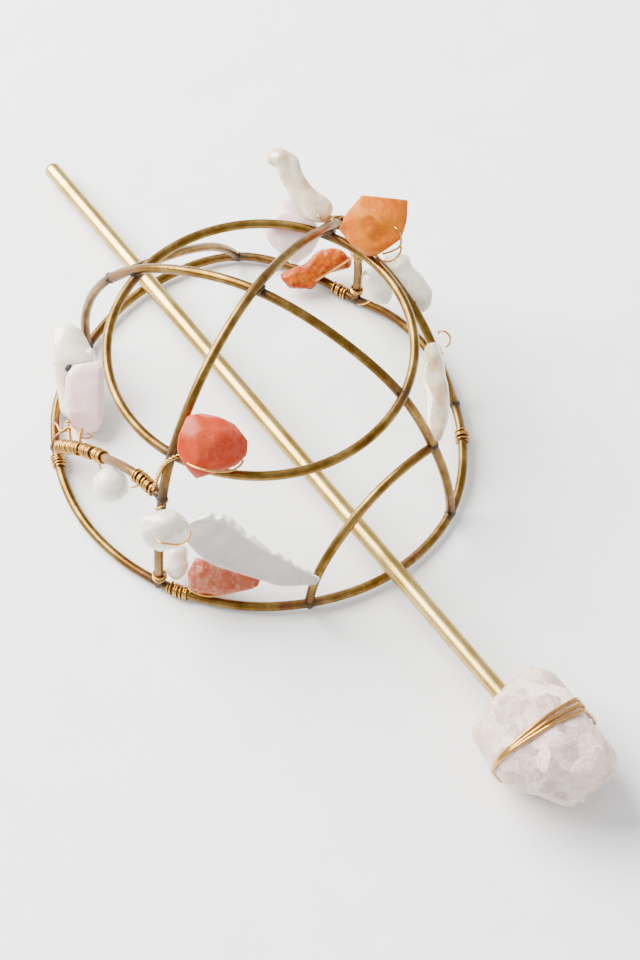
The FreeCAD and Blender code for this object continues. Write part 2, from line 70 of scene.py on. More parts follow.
def smooth_line(points: np.ndarray, closed: bool = False, steps: int = 16) -> np.ndarray:
    """A smooth line through a few points.

    The heading at a point is that of the circle through it and its neighbours. Between two
    points the line is a cubic whose end speeds are the chord over cos squared of a quarter turn,
    so it stays within a hair of a circle's arc.

    Args:
        points: the points, one row each.
        closed: whether the line returns to its first point.
        steps: samples for each span.

    Returns:
        The sampled line, one row a sample.
    """
    given = np.asarray(points, float)
    before = np.roll(given, 1, axis=0)
    after = np.roll(given, -1, axis=0)
    back, ahead = given - before, after - given
    ratio = np.linalg.norm(ahead, axis=1, keepdims=True) / np.linalg.norm(back, axis=1, keepdims=True)
    heading = unit(back * ratio + ahead / ratio)
    if not closed:
        for end, inner, chord in ((0, 1, given[1] - given[0]), (-1, -2, given[-1] - given[-2])):
            way = chord / np.linalg.norm(chord)
            heading[end] = way * (2 * heading[inner] @ way) - heading[inner] if len(given) > 2 else way
    start = given if closed else given[:-1]
    finish = np.roll(given, -1, axis=0) if closed else given[1:]
    leave = heading if closed else heading[:-1]
    arrive = np.roll(heading, -1, axis=0) if closed else heading[1:]
    half_turn = np.sqrt(np.clip((1 + np.sum(leave * arrive, axis=1)) / 2, SHARPEST_SPAN, 1))
    speed = (np.linalg.norm(finish - start, axis=1) / ((1 + half_turn) / 2))[:, None, None]
    t = (np.arange(steps) / steps)[None, :, None]
    line = (
        (2 * t**3 - 3 * t**2 + 1) * start[:, None] + (t**3 - 2 * t**2 + t) * speed * leave[:, None]
        + (3 * t**2 - 2 * t**3) * finish[:, None] + (t**3 - t**2) * speed * arrive[:, None]
    ).reshape(-1, given.shape[1])
    return line if closed else np.vstack([line, given[-1:]])


def ripple(points: np.ndarray, wavelength: float, seed: int, waves: int = 9) -> np.ndarray:
    """Gentle relief between about -1 and 1: a mean of sines along directions drawn from the seed.

    Args:
        points: places, with x, y and z on the last axis.
        wavelength: about how far apart the crests lie.
        seed: where the draw starts.
        waves: how many sines take part.

    Returns:
        One value for each point.
    """
    source = np.random.default_rng(seed)
    ways = unit(source.normal(size=(waves, 3))) * (TURN / wavelength)
    ways *= source.uniform(*RIPPLE_SPREAD, size=(waves, 1))
    phases = source.uniform(0, TURN, waves)
    return np.sin(points @ ways.T + phases).sum(axis=-1) / math.sqrt(waves) / RIPPLE_PEAK


def distances(line: np.ndarray) -> np.ndarray:
    """Each sample's distance from the start of a line."""
    return np.concatenate([[0.0], np.cumsum(np.linalg.norm(np.diff(line, axis=0), axis=1))])


def at_stations(line: np.ndarray, along: np.ndarray, where: np.ndarray) -> np.ndarray:
    """A line's columns at new distances, by straight interpolation."""
    return np.stack([np.interp(where, along, column) for column in line.T], axis=-1)


def squared(hint: np.ndarray, heading: np.ndarray) -> np.ndarray:
    """A hint of direction, turned square to the headings."""
    return unit(hint - heading * np.sum(hint * heading, axis=1, keepdims=True))


def squarish(columns: int, power: float) -> tuple[np.ndarray, np.ndarray]:
    """Cosine and sine round a ring, each taken to a power, which squares the ring where it is under 1."""
    turn = np.linspace(0, TURN, columns, endpoint=False)[None]
    return tuple(np.sign(wave) * np.abs(wave) ** power for wave in (np.cos(turn), np.sin(turn)))


@dataclass
class Course:
    """A wire's centreline in millimetres, sampled finely, with places found by distance."""

    points: np.ndarray
    closed: bool = False
    probe: float = 0.3

    def __post_init__(self) -> None:
        """Measures the distance of every sample from the start."""
        if self.closed:
            self.points = np.vstack([self.points, self.points[:1]])
        self.stations = distances(self.points)
        self.length = float(self.stations[-1])

    def at(self, where: np.ndarray) -> np.ndarray:
        """Points at distances from the start."""
        where = np.mod(where, self.length) if self.closed else np.clip(where, 0, self.length)
        return at_stations(self.points, self.stations, where)

    def heading(self, where: np.ndarray) -> np.ndarray:
        """Unit headings, each from the points a probe's length before and after it.

        Args:
            where: distances from the start.

        Returns:
            One unit vector for each distance.
        """
        where = np.asarray(where, float)
        if not self.closed:
            where = np.clip(where, self.probe, self.length - self.probe)
        return unit(self.at(where + self.probe) - self.at(where - self.probe))

    def outward(self, where: np.ndarray, hint: np.ndarray, angle: np.ndarray) -> np.ndarray:
        """Unit ways out from the line: side cos a + other sin a.

        Args:
            where: distances from the start.
            hint: direction of angle zero, before it is turned square to the line.
            angle: how far each way is turned about the heading.

        Returns:
            One unit vector for each distance.
        """
        heading = self.heading(where)
        side = squared(np.broadcast_to(hint, heading.shape), heading)
        return side * np.cos(angle)[:, None] + np.cross(heading, side) * np.sin(angle)[:, None]

    def nearest(self, target: np.ndarray) -> float:
        """Distance along the line of its sample nearest to a target."""
        return float(self.stations[np.argmin(np.linalg.norm(self.points - target, axis=1))])


def ring_grid(line: np.ndarray, radius: np.ndarray | float, side: np.ndarray, other: np.ndarray,
              sides: int) -> np.ndarray:
    """Rings of points round a line: centre + radius (side cos a + other sin a).

    Args:
        line: centres, one row each.
        radius: radius at each centre, or one for all.
        side: direction of angle zero, one for all or one for each centre.
        other: direction of a quarter turn at each centre.
        sides: points in a ring.

    Returns:
        Array of rows, sides, 3.
    """
    turn = (np.arange(sides) * TURN / sides)[:, None]
    radius = np.broadcast_to(radius, (len(line),))[:, None, None]
    side = np.broadcast_to(side, line.shape)[:, None]
    return line[:, None] + radius * (side * np.cos(turn) + other[:, None] * np.sin(turn))


def tube_grid(line: np.ndarray, radius: np.ndarray | float, hint: np.ndarray, sides: int) -> np.ndarray:
    """Rings of points round an open line.

    Args:
        line: centres, one row each.
        radius: radius at each centre, or one for all.
        hint: direction of angle zero, one for all or one for each centre, turned square here.
        sides: points in a ring.

    Returns:
        Array of rows, sides, 3.
    """
    heading = unit(np.gradient(line, axis=0))
    side = squared(np.broadcast_to(hint, line.shape), heading)
    return ring_grid(line, radius, side, np.cross(heading, side), sides)


def thread_grid(line: np.ndarray, radius: float, hint: np.ndarray, sides: int) -> np.ndarray:
    """A tube whose two ends are rounded: over the last radius it narrows as a circle does.

    Args:
        line: centres, one row each.
        radius: the tube's radius.
        hint: direction of angle zero, one for all or one for each centre.
        sides: points in a ring.

    Returns:
        Array of rows, sides, 3.
    """
    along = distances(line)
    nose = radius * np.array(THREAD_NOSE)
    inner = along[(along > radius) & (along < along[-1] - radius)]
    stations = np.concatenate([nose, inner, along[-1] - nose[::-1]])
    line = at_stations(line, along, stations)
    hint = hint if hint.ndim == 1 else at_stations(hint, along, stations)
    depth = np.clip(np.minimum(stations, stations[-1] - stations) / radius, 0, 1)
    return tube_grid(line, radius * np.sqrt(np.maximum(1 - (1 - depth) ** 2, THREAD_TIP)), hint, sides)


@dataclass
class Shell:
    """Points and faces of one piece, gathered patch by patch, in millimetres."""

    points: list[np.ndarray] = field(default_factory=list)
    faces: list[list[int]] = field(default_factory=list)
    count: int = 0

    def add(self, grid: np.ndarray, closed: bool = False) -> None:
        """Adds a grid of rings.

        Args:
            grid: rows, columns, 3; the columns run right-handed about the rows.
            closed: joins the last ring to the first; otherwise each end gets a pole.
        """
        rows, columns = grid.shape[:2]
        spans = rows if closed else rows - 1
        row, column = np.meshgrid(np.arange(spans), np.arange(columns), indexing="ij")
        after, above = (column + 1) % columns, (row + 1) % rows
        quads = np.stack([row * columns + column, row * columns + after,
                          above * columns + after, above * columns + column], axis=-1).reshape(-1, 4)
        self.faces += (quads + self.count).tolist()
        self.points.append(grid.reshape(-1, 3))
        size = rows * columns
        if not closed:
            ring = np.arange(columns)
            ahead = (ring + 1) % columns
            last = size - columns
            self.points.append(np.stack([grid[0].mean(axis=0), grid[-1].mean(axis=0)]))
            start = np.stack([np.full(columns, size), ahead, ring], axis=-1)
            end = np.stack([np.full(columns, size + 1), last + ring, last + ahead], axis=-1)
            self.faces += (np.vstack([start, end]) + self.count).tolist()
            size += 2
        self.count += size

    def piece(self, name: str, finish: "Finish", body: str, slot: str,
              marks: dict[str, np.ndarray] | None = None) -> bpy.types.Object:
        """The finished piece.

        Args:
            name: the piece's name.
            finish: what it is dressed in.
            body: the body it moves with.
            slot: the record's material slot; not used.
            marks: values kept on each point for the finish.

        Returns:
            The Blender object, at the origin, with its place in its mesh.
        """
        mesh = bpy.data.meshes.new(name)
        mesh.from_pydata((np.vstack(self.points) * MM).tolist(), [], self.faces)
        mesh.polygons.foreach_set("use_smooth", np.ones(len(self.faces), bool))
        for label, values in (marks or {}).items():
            layer = mesh.attributes.new(label, "FLOAT", "POINT")
            layer.data.foreach_set("value", values.astype(np.float32))
        mesh.materials.append(finish.material())
        mesh.update()
        thing = bpy.data.objects.new(name, mesh)
        bpy.context.scene.collection.objects.link(thing)
        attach(thing, body)
        log.info("%s: %d faces", name, len(self.faces))
        return thing

    def all_points(self) -> np.ndarray:
        """Every point so far, one row each."""
        return np.vstack(self.points)


# --------------------------------------------------------------------------- shader words

class Term:
    """A shader socket that takes part in plain arithmetic."""

    def __init__(self, recipe: "Recipe", socket: bpy.types.NodeSocket) -> None:
        """Keeps the socket and the recipe it belongs to."""
        self.recipe = recipe
        self.socket = socket

    def __add__(self, other: "Term | float") -> "Term":
        """Sum."""
        return self.recipe.maths("ADD", self, other)

    def __sub__(self, other: "Term | float") -> "Term":
        """Difference."""
        return self.recipe.maths("SUBTRACT", self, other)

    def __rsub__(self, other: float) -> "Term":
        """A number less this."""
        return self.recipe.maths("SUBTRACT", other, self)

    def __mul__(self, other: "Term | float") -> "Term":
        """Product."""
        return self.recipe.maths("MULTIPLY", self, other)

    __radd__ = __add__
    __rmul__ = __mul__


class Recipe:
    """The node tree of one finish."""

    def __init__(self, name: str) -> None:
        """Starts an empty material."""
        self.material = bpy.data.materials.new(name)
        self.material.use_nodes = True
        self.tree = self.material.node_tree
        self.tree.nodes.clear()
        self.place = self.node("ShaderNodeTexCoord", output="Object")

    def node(self, kind: str, settings: dict | None = None, inputs: dict | None = None,
             output: str | int = 0) -> Term:
        """Adds a node.

        Args:
            kind: the node's type.
            settings: its own settings, set first.
            inputs: values or terms for its sockets, by name or number.
            output: the socket it gives back.

        Returns:
            The chosen output.
        """
        made = self.tree.nodes.new(kind)
        for key, value in (settings or {}).items():
            setattr(made, key, value)
        for key, value in (inputs or {}).items():
            socket = made.inputs[key]
            if isinstance(value, Term):
                self.tree.links.new(value.socket, socket)
            else:
                socket.default_value = (*value, 1.0) if socket.type == "RGBA" and len(value) == 3 else value
        return Term(self, made.outputs[output])

    def maths(self, operation: str, first: Term | float, second: Term | float, clamp: bool = False) -> Term:
        """Arithmetic on two values."""
        settings = {"operation": operation, "use_clamp": clamp}
        return self.node("ShaderNodeMath", settings, {0: first, 1: second})

    def clamp(self, value: Term) -> Term:
        """A value held between 0 and 1."""
        return self.maths("ADD", value, 0.0, clamp=True)

    def blend(self, share: Term | float, first: Term | tuple, second: Term | tuple) -> Term:
        """A colour between two, second where share is 1."""
        return self.node("ShaderNodeMix", {"data_type": "RGBA"}, {0: share, 6: first, 7: second}, 2)

    def noise(self, size_mm: float, detail: float = 3.0, rough: float = 0.55, warp: float = 0.0,
              place: Term | None = None) -> Term:
        """Cloudy noise between 0 and 1 with features of about a size."""
        return self.node("ShaderNodeTexNoise", None, {
            "Vector": place or self.place, "Scale": 1 / (size_mm * MM), "Detail": detail,
            "Roughness": rough, "Distortion": warp})

    def cells(self, size_mm: float, output: str = "Distance") -> Term:
        """Cells of about a size: the distance from each one's seat, or its random colour."""
        return self.node("ShaderNodeTexVoronoi", None,
                         {"Vector": self.place, "Scale": 1 / (size_mm * MM)}, output)

    def between(self, value: Term, low: float, high: float) -> Term:
        """0 below low, 1 above high, smooth between."""
        return self.node("ShaderNodeMapRange", {"interpolation_type": "SMOOTHSTEP"},
                         {"Value": value, "From Min": low, "From Max": high})

    def flats(self, size_mm: float) -> Term:
        """Broken flats: height = (place - seat) . (colour - half) / size, in the cell's own colour.

        Args:
            size_mm: about how wide a flat is.

        Returns:
            The height, which slopes its own way inside each cell.
        """
        tint = self.cells(size_mm, "Color")
        seat = Term(self, tint.socket.node.outputs["Position"])
        offset = self.vectors("SUBTRACT", self.place, seat)
        tilt = self.vectors("SUBTRACT", tint, (0.5, 0.5, 0.5))
        return self.vectors("DOT_PRODUCT", offset, tilt, "Value") * (1 / (size_mm * MM))

    def vectors(self, operation: str, first: Term, second: Term | tuple, output: str = "Vector") -> Term:
        """Arithmetic on two vectors."""
        return self.node("ShaderNodeVectorMath", {"operation": operation}, {0: first, 1: second}, output)

    def mark(self, label: str) -> Term:
        """A value kept on the mesh's points."""
        return self.node("ShaderNodeAttribute", {"attribute_name": label}, output="Fac")

    def bump(self, height: Term, strength: float, depth_mm: float) -> Term:
        """Relief from a height."""
        inputs = {"Height": height, "Strength": strength, "Distance": depth_mm * MM}
        return self.node("ShaderNodeBump", None, inputs)

    def close(self, colour: Term | tuple, **sockets: Term | float | tuple) -> bpy.types.Material:
        """Ends the recipe with the surface shader.

        Args:
            colour: the base colour.
            sockets: values for its other sockets; underscores in their names stand for spaces.

        Returns:
            The finished material.
        """
        inputs = {key.replace("_", " "): value for key, value in sockets.items()}
        surface = self.node("ShaderNodeBsdfPrincipled", None, {"Base Color": colour, **inputs})
        end = self.tree.nodes.new("ShaderNodeOutputMaterial")
        self.tree.links.new(surface.socket, end.inputs["Surface"])
        return self.material


class Finish:
    """What a piece is dressed in. Each finish makes its material once."""

    made: dict[str, bpy.types.Material] = {}

    def material(self) -> bpy.types.Material:
        """The material, made at its first use.

        Returns:
            The same material each time.
        """
        name = self.name
        if name not in Finish.made:
            Finish.made[name] = self.mix(Recipe(name))
        return Finish.made[name]


@dataclass(frozen=True)
class AgedBrass(Finish):
    """The cage's wire: darkened brass with grey solder marks and coppery heat stains."""

    name: str = "aged_brass"
    mid: tuple = (0.130, 0.066, 0.010)
    worn: tuple = (0.250, 0.155, 0.045)
    dark: tuple = (0.045, 0.020, 0.004)
    copper: tuple = (0.130, 0.050, 0.020)
    grey: tuple = (0.040, 0.034, 0.030)

    def mix(self, recipe: Recipe) -> bpy.types.Material:
        """Cloudy brass, stained where the marks on the mesh say.

        Args:
            recipe: the empty recipe of this finish.

        Returns:
            The material.
        """
        cloud = recipe.noise(4.0, 4.0)
        fine = recipe.noise(0.5, 3.0)
        colour = recipe.blend(recipe.between(cloud, 0.35, 0.7), self.mid, self.worn)
        tarnish = recipe.between(recipe.noise(2.2, 4.0, 0.6, 0.5), 0.52, 0.75)
        colour = recipe.blend(tarnish * 0.55, colour, self.dark)
        copper = recipe.clamp(recipe.mark("copper") * recipe.between(recipe.noise(1.5), 0.3, 0.6))
        colour = recipe.blend(copper, colour, self.copper)
        solder = recipe.clamp(recipe.mark("solder") * recipe.between(recipe.noise(0.9), 0.15, 0.5))
        colour = recipe.blend(solder, colour, self.grey)
        rough = 0.24 + fine * 0.12 + solder * 0.18 + copper * 0.1
        relief = recipe.bump(fine + recipe.noise(0.15, 2.0) * 0.5, 0.25, 0.03)
        return recipe.close(colour, Metallic=1.0, Roughness=rough, Normal=relief)


@dataclass(frozen=True)
class SatinBrass(Finish):
    """The stick's rod: pale satin brass, drawn lengthwise, a little worn."""

    name: str = "satin_brass"
    mid: tuple = (0.41, 0.265, 0.062)
    pale: tuple = (0.58, 0.42, 0.15)
    dark: tuple = (0.26, 0.14, 0.028)

    def mix(self, recipe: Recipe) -> bpy.types.Material:
        """Cloudy brass with streaks along the rod: their pattern is stretched forty times along X.

        Args:
            recipe: the empty recipe of this finish.

        Returns:
            The material.
        """
        along = recipe.node("ShaderNodeMapping", None, {"Vector": recipe.place, "Scale": (0.025, 1.0, 1.0)})
        streak = recipe.noise(0.35, place=along)
        cloud = recipe.noise(6.0, 4.0)
        colour = recipe.blend(recipe.between(cloud, 0.35, 0.68), self.mid, self.pale)
        colour = recipe.blend(recipe.between(streak, 0.5, 0.8) * 0.35, colour, self.dark)
        nicks = recipe.between(recipe.noise(0.8, 4.0, 0.7), 0.62, 0.74)
        colour = recipe.blend(nicks * 0.4, colour, self.dark)
        relief = recipe.bump(streak + recipe.noise(1.2, 3.0) * 0.8, 0.35, 0.04)
        return recipe.close(colour, Metallic=1.0, Roughness=0.24 + cloud * 0.14, Normal=relief)


@dataclass(frozen=True)
class GoldWire(Finish):
    """The thin binding wire: bright golden brass."""

    name: str = "gold_wire"
    mid: tuple = (0.55, 0.30, 0.07)
    dark: tuple = (0.22, 0.10, 0.018)

    def mix(self, recipe: Recipe) -> bpy.types.Material:
        """Bright wire, duller in patches.

        Args:
            recipe: the empty recipe of this finish.

        Returns:
            The material.
        """
        dull = recipe.between(recipe.noise(1.6, 3.0), 0.45, 0.75)
        colour = recipe.blend(dull * 0.6, self.mid, self.dark)
        return recipe.close(colour, Metallic=1.0, Roughness=0.22 + dull * 0.16,
                            Normal=recipe.bump(recipe.noise(0.25), 0.15, 0.02))


@dataclass(frozen=True)
class Solder(Finish):
    """A joint's solder: dark grey, dull, a little brown."""

    name: str = "solder"
    grey: tuple = (0.055, 0.048, 0.042)
    brown: tuple = (0.085, 0.042, 0.014)

    def mix(self, recipe: Recipe) -> bpy.types.Material:
        """Grey with brown clouds and a pitted skin.

        Args:
            recipe: the empty recipe of this finish.

        Returns:
            The material.
        """
        cloud = recipe.between(recipe.noise(0.9, 4.0), 0.4, 0.65)
        relief = recipe.bump(recipe.noise(0.35, 4.0, 0.65), 0.6, 0.08)
        colour = recipe.blend(cloud, self.grey, self.brown)
        return recipe.close(colour, Metallic=0.85, Roughness=0.42, Normal=relief)


@dataclass(frozen=True)
class Nacre(Finish):
    """A baroque pearl's glossy skin, with faint rose and green tints and soft creases."""

    name: str = "nacre"
    body: tuple = (0.86, 0.81, 0.68)
    rose: tuple = (0.84, 0.70, 0.58)
    shade: tuple = (0.68, 0.65, 0.56)
    # rim: the thick rim's colour, partly its own paler nacre and partly a painted highlight along the
    # beaded edge
    rim: tuple = (0.88, 0.87, 0.83)
    crease: float = 0.12
    alpha: float = 1.0
    thick_rim_and_highlight: bool = False

    def mix(self, recipe: Recipe) -> bpy.types.Material:
        """Pale body, tinted in clouds, under a clear coat; a thick rim hides more and is painted paler,
        partly its own thicker nacre and partly a painted highlight.

        Args:
            recipe: the empty recipe of this finish.

        Returns:
            The material.
        """
        blush = recipe.between(recipe.noise(3.0, 3.0, 0.5, 0.6), 0.42, 0.68)
        colour = recipe.blend(blush, self.body, self.rose)
        depth = recipe.between(recipe.noise(4.5, 3.0, 0.5, 0.9), 0.5, 0.75)
        colour = recipe.blend(depth * 0.7, colour, self.shade)
        alpha = self.alpha
        if self.thick_rim_and_highlight:
            # painted highlight: the thick rim is blended towards the pale rim colour, partly its own
            # thicker nacre and partly a highlight painted along the beaded edge
            colour = recipe.blend(recipe.mark("rim"), colour, self.rim)
            alpha = recipe.mark("rim") * (1 - self.alpha) + self.alpha
        relief = recipe.bump(recipe.noise(1.6, 3.0, 0.5, 0.8), self.crease, 0.35)
        return recipe.close(colour, Roughness=0.14, Normal=relief, Coat_Weight=1.0, Coat_Roughness=0.03,
                            Subsurface_Weight=0.25, Subsurface_Radius=(1.0, 0.8, 0.7),
                            Subsurface_Scale=0.0015, Alpha=alpha)


@dataclass(frozen=True)
class Mineral(Finish):
    """A raw or tumbled stone: two body colours, frosty patches, specks and a grainy or broken skin."""

    name: str
    body: tuple
    deep: tuple
    frost: tuple
    frost_share: float = 0.4
    cloud_mm: float = 3.0
    speck: tuple = (0.2, 0.05, 0.03)
    specks: float = 0.0
    rough: float = 0.3
    grain_mm: float = 0.8
    relief: float = 0.5
    glow: float = 0.35
    glow_tint: tuple = (1.0, 0.6, 0.4)
    coat: float = 0.25
    gloss: float = 0.5
    alpha: float = 1.0
    flat_mm: float = 0.0

    def mix(self, recipe: Recipe) -> bpy.types.Material:
        """Clouds of the two colours, frost where the skin is broken, specks in cells.

        Args:
            recipe: the empty recipe of this finish.

        Returns:
            The material.
        """
        colour = recipe.blend(recipe.between(recipe.noise(self.cloud_mm, 3.0, 0.55, 0.7), 0.36, 0.66),
                              self.body, self.deep)
        grain = recipe.noise(self.grain_mm, 5.0, 0.62, 0.4)
        chips = recipe.cells(self.grain_mm * 1.7)
        frost = recipe.between(grain * 0.6 + recipe.noise(self.cloud_mm * 0.7, 4.0, 0.6) * 0.6, 0.56, 0.76)
        colour = recipe.blend(frost * self.frost_share, colour, self.frost)
        if self.specks:
            spots = 1 - recipe.between(recipe.cells(0.9), 0.10, 0.22)
            spots = spots * recipe.between(recipe.noise(1.3, 2.0), 0.52, 0.6) * self.specks
            colour = recipe.blend(spots, colour, self.speck)
        height, depth = grain + chips * 0.5, self.grain_mm * 0.45
        if self.flat_mm:
            height, depth = recipe.flats(self.flat_mm) * 1.6 + grain * 0.25, self.flat_mm * 0.6
        relief = recipe.bump(height, self.relief, depth)
        return recipe.close(colour, Roughness=self.rough + frost * 0.2, Normal=relief,
                            Coat_Weight=self.coat, Coat_Roughness=0.12,
                            Specular_IOR_Level=self.gloss, Subsurface_Weight=self.glow,
                            Subsurface_Radius=self.glow_tint, Subsurface_Scale=0.003, Alpha=self.alpha)


@dataclass(frozen=True)
class Inclusion(Finish):
    """A black mineral chip."""

    name: str = "black_chip"
    black: tuple = (0.012, 0.012, 0.012)
    brown: tuple = (0.05, 0.045, 0.04)

    def mix(self, recipe: Recipe) -> bpy.types.Material:
        """Near black, broken and glinting.

        Args:
            recipe: the empty recipe of this finish.

        Returns:
            The material.
        """
        relief = recipe.bump(recipe.cells(0.4), 0.8, 0.2)
        colour = recipe.blend(recipe.noise(0.6), self.black, self.brown)
        return recipe.close(colour, Roughness=0.5, Specular_IOR_Level=0.15, Normal=relief)


@dataclass(frozen=True)
class PaleGround(Finish):
    """The studio's floor: white, with the faint tooth of rough paper."""

    name: str = "pale_ground"
    white: tuple = (0.90, 0.90, 0.895)
    low: tuple = (0.865, 0.865, 0.86)

    def mix(self, recipe: Recipe) -> bpy.types.Material:
        """Soft clouds and a low tooth.

        Args:
            recipe: the empty recipe of this finish.

        Returns:
            The material.
        """
        tooth = recipe.noise(1.6, 4.0, 0.6)
        colour = recipe.blend(recipe.between(recipe.noise(9.0, 4.0), 0.35, 0.7), self.white, self.low)
        return recipe.close(colour, Roughness=0.75, Normal=recipe.bump(tooth, 0.5, 0.12))


class Dress(Enum):
    """The finishes of the stones."""

    PEARL = Nacre()
    RIDGED_PEARL = Nacre("ridged_nacre", body=(0.66, 0.59, 0.44), rose=(0.58, 0.40, 0.22),
                         shade=(0.52, 0.49, 0.38), crease=0.3)
    # painted shade: the wing pearl's nacre is a darker grey copy of the pearls' nacre, standing in for the
    # shade the wing lies in
    WING_IN_PAINTED_SHADE = Nacre(
        "wing_nacre_painted_shade", body=(0.50, 0.47, 0.43), rose=(0.46, 0.41, 0.37), shade=(0.38, 0.37, 0.34),
        crease=0.25, alpha=0.76, thick_rim_and_highlight=True)
    ROSE = Mineral(
        "rose_stone", (0.82, 0.62, 0.60), (0.76, 0.54, 0.53), (0.88, 0.78, 0.77), 0.5, rough=0.2,
        relief=0.12, glow=0.5, glow_tint=(1.0, 0.7, 0.75), coat=0.4, alpha=0.9)
    MOON = Mineral(
        "moonstone", (0.71, 0.67, 0.57), (0.64, 0.60, 0.50), (0.86, 0.84, 0.78), 0.6, rough=0.18,
        relief=0.12, glow=0.5, glow_tint=(0.8, 0.9, 0.85), coat=0.6)
    PEACH = Mineral(
        "peach_stone", (0.50, 0.135, 0.0008), (0.50, 0.100, 0.0005), (0.60, 0.25, 0.03), 0.35,
        cloud_mm=4.5, rough=0.34, relief=0.5, glow=0.2, glow_tint=(1.0, 0.45, 0.05), coat=0.0,
        gloss=0.1, flat_mm=2.6)
    CARNELIAN = Mineral(
        "carnelian", (0.42, 0.085, 0.0005), (0.30, 0.035, 0.0005), (0.54, 0.18, 0.01), 0.35,
        cloud_mm=3.5, rough=0.24, relief=0.6, glow=0.2, glow_tint=(1.0, 0.35, 0.02), coat=0.05,
        gloss=0.15, flat_mm=1.6)
    CORAL = Mineral(
        "coral_stone", (0.37, 0.026, 0.004), (0.37, 0.046, 0.010), (0.46, 0.12, 0.055), 0.35,
        cloud_mm=5.0, specks=0.8, rough=0.32, relief=0.15, glow=0.25, glow_tint=(1.0, 0.3, 0.12),
        coat=0.05, gloss=0.2)
    LOW_CORAL = Mineral(
        "broken_coral_stone", (0.38, 0.065, 0.020), (0.42, 0.11, 0.045), (0.64, 0.32, 0.22), 0.55,
        rough=0.3, relief=0.6, glow=0.3, glow_tint=(1.0, 0.35, 0.2), coat=0.12, gloss=0.3, flat_mm=1.3)
    QUARTZ = Mineral(
        "rose_quartz", (0.74, 0.53, 0.465), (0.67, 0.46, 0.40), (0.88, 0.75, 0.69), 0.5, cloud_mm=5.0,
        rough=0.14, grain_mm=0.8, relief=1.0, glow=0.15, glow_tint=(1.0, 0.75, 0.7), coat=0.0,
        gloss=0.9, flat_mm=2.6)
    BLACK = Inclusion()


# --------------------------------------------------------------------------- the eye

@dataclass(frozen=True)
class Sight:
    """The photograph's eye."""

    target: tuple = (15.17, 2.69, 0.0)
    distance: float = 392.0
    azimuth: float = 54.8
    elevation: float = 58.4
    lens: float = 80.0
    film: float = 36.0
    width: int = 640
    height: int = 960
    clip: tuple = (0.02, 5.0)

    def axes(self) -> tuple[np.ndarray, np.ndarray, np.ndarray]:
        """The picture's axes.

        Returns:
            Its right and up, and the way towards the eye.
        """
        turn, rise = math.radians(self.azimuth), math.radians(self.elevation)
        right = np.array([math.cos(turn), math.sin(turn), 0.0])
        toward = np.array([math.sin(turn) * math.cos(rise), -math.cos(turn) * math.cos(rise),
                           math.sin(rise)])
        return right, np.cross(toward, right), toward

    def eye(self) -> np.ndarray:
        """Where the eye stands."""
        return np.array(self.target) + self.axes()[2] * self.distance

    def place(self, spots: list[tuple[float, float, float]], anchor: np.ndarray) -> np.ndarray:
        """Points seen at spots of the picture.

        Args:
            spots: across and down in the picture, and how far in front of the anchor.
            anchor: a point whose plane, square to the line of sight, carries the spots.

        Returns:
            One row for each spot, in millimetres.
        """
        right, up, toward = self.axes()
        across, down, proud = np.array(spots, float).T
        focus = self.lens / self.film * self.height
        ray = (right * (across - self.width / 2)[:, None]
               - up * (down - self.height / 2)[:, None] - toward * focus)
        reach = (np.asarray(anchor) @ toward + proud - self.eye() @ toward) / (ray @ toward)
        return self.eye() + ray * reach[:, None]

    def silhouette(self, spots: tuple, anchor: np.ndarray) -> tuple[np.ndarray, np.ndarray]:
        """Planes through the eye and each side of an outline seen in the picture.

        Args:
            spots: the outline's corners, across and down.
            anchor: a point inside the outline.

        Returns:
            The planes' outward normals, and how far each lies from the anchor.
        """
        rays = unit(self.place([(across, down, 0.0) for across, down in spots], anchor) - self.eye())
        normals = unit(np.cross(rays, np.roll(rays, -1, axis=0)))
        reach = normals @ (self.eye() - anchor)
        return normals * np.sign(reach)[:, None], np.abs(reach)

    def camera(self) -> None:
        """Puts the camera there."""
        right, up, toward = self.axes()
        data = bpy.data.cameras.new("camera")
        data.sensor_fit = "VERTICAL"
        data.sensor_height, data.lens = self.film, self.lens
        data.clip_start, data.clip_end = self.clip
        thing = bpy.data.objects.new("camera", data)
        thing.matrix_world = Matrix(np.vstack([
            np.column_stack([right, up, toward, self.eye() * MM]), [0, 0, 0, 1]]).tolist())
        bpy.context.scene.collection.objects.link(thing)
        bpy.context.scene.camera = thing


SIGHT = Sight()


# --------------------------------------------------------------------------- the cage's wires

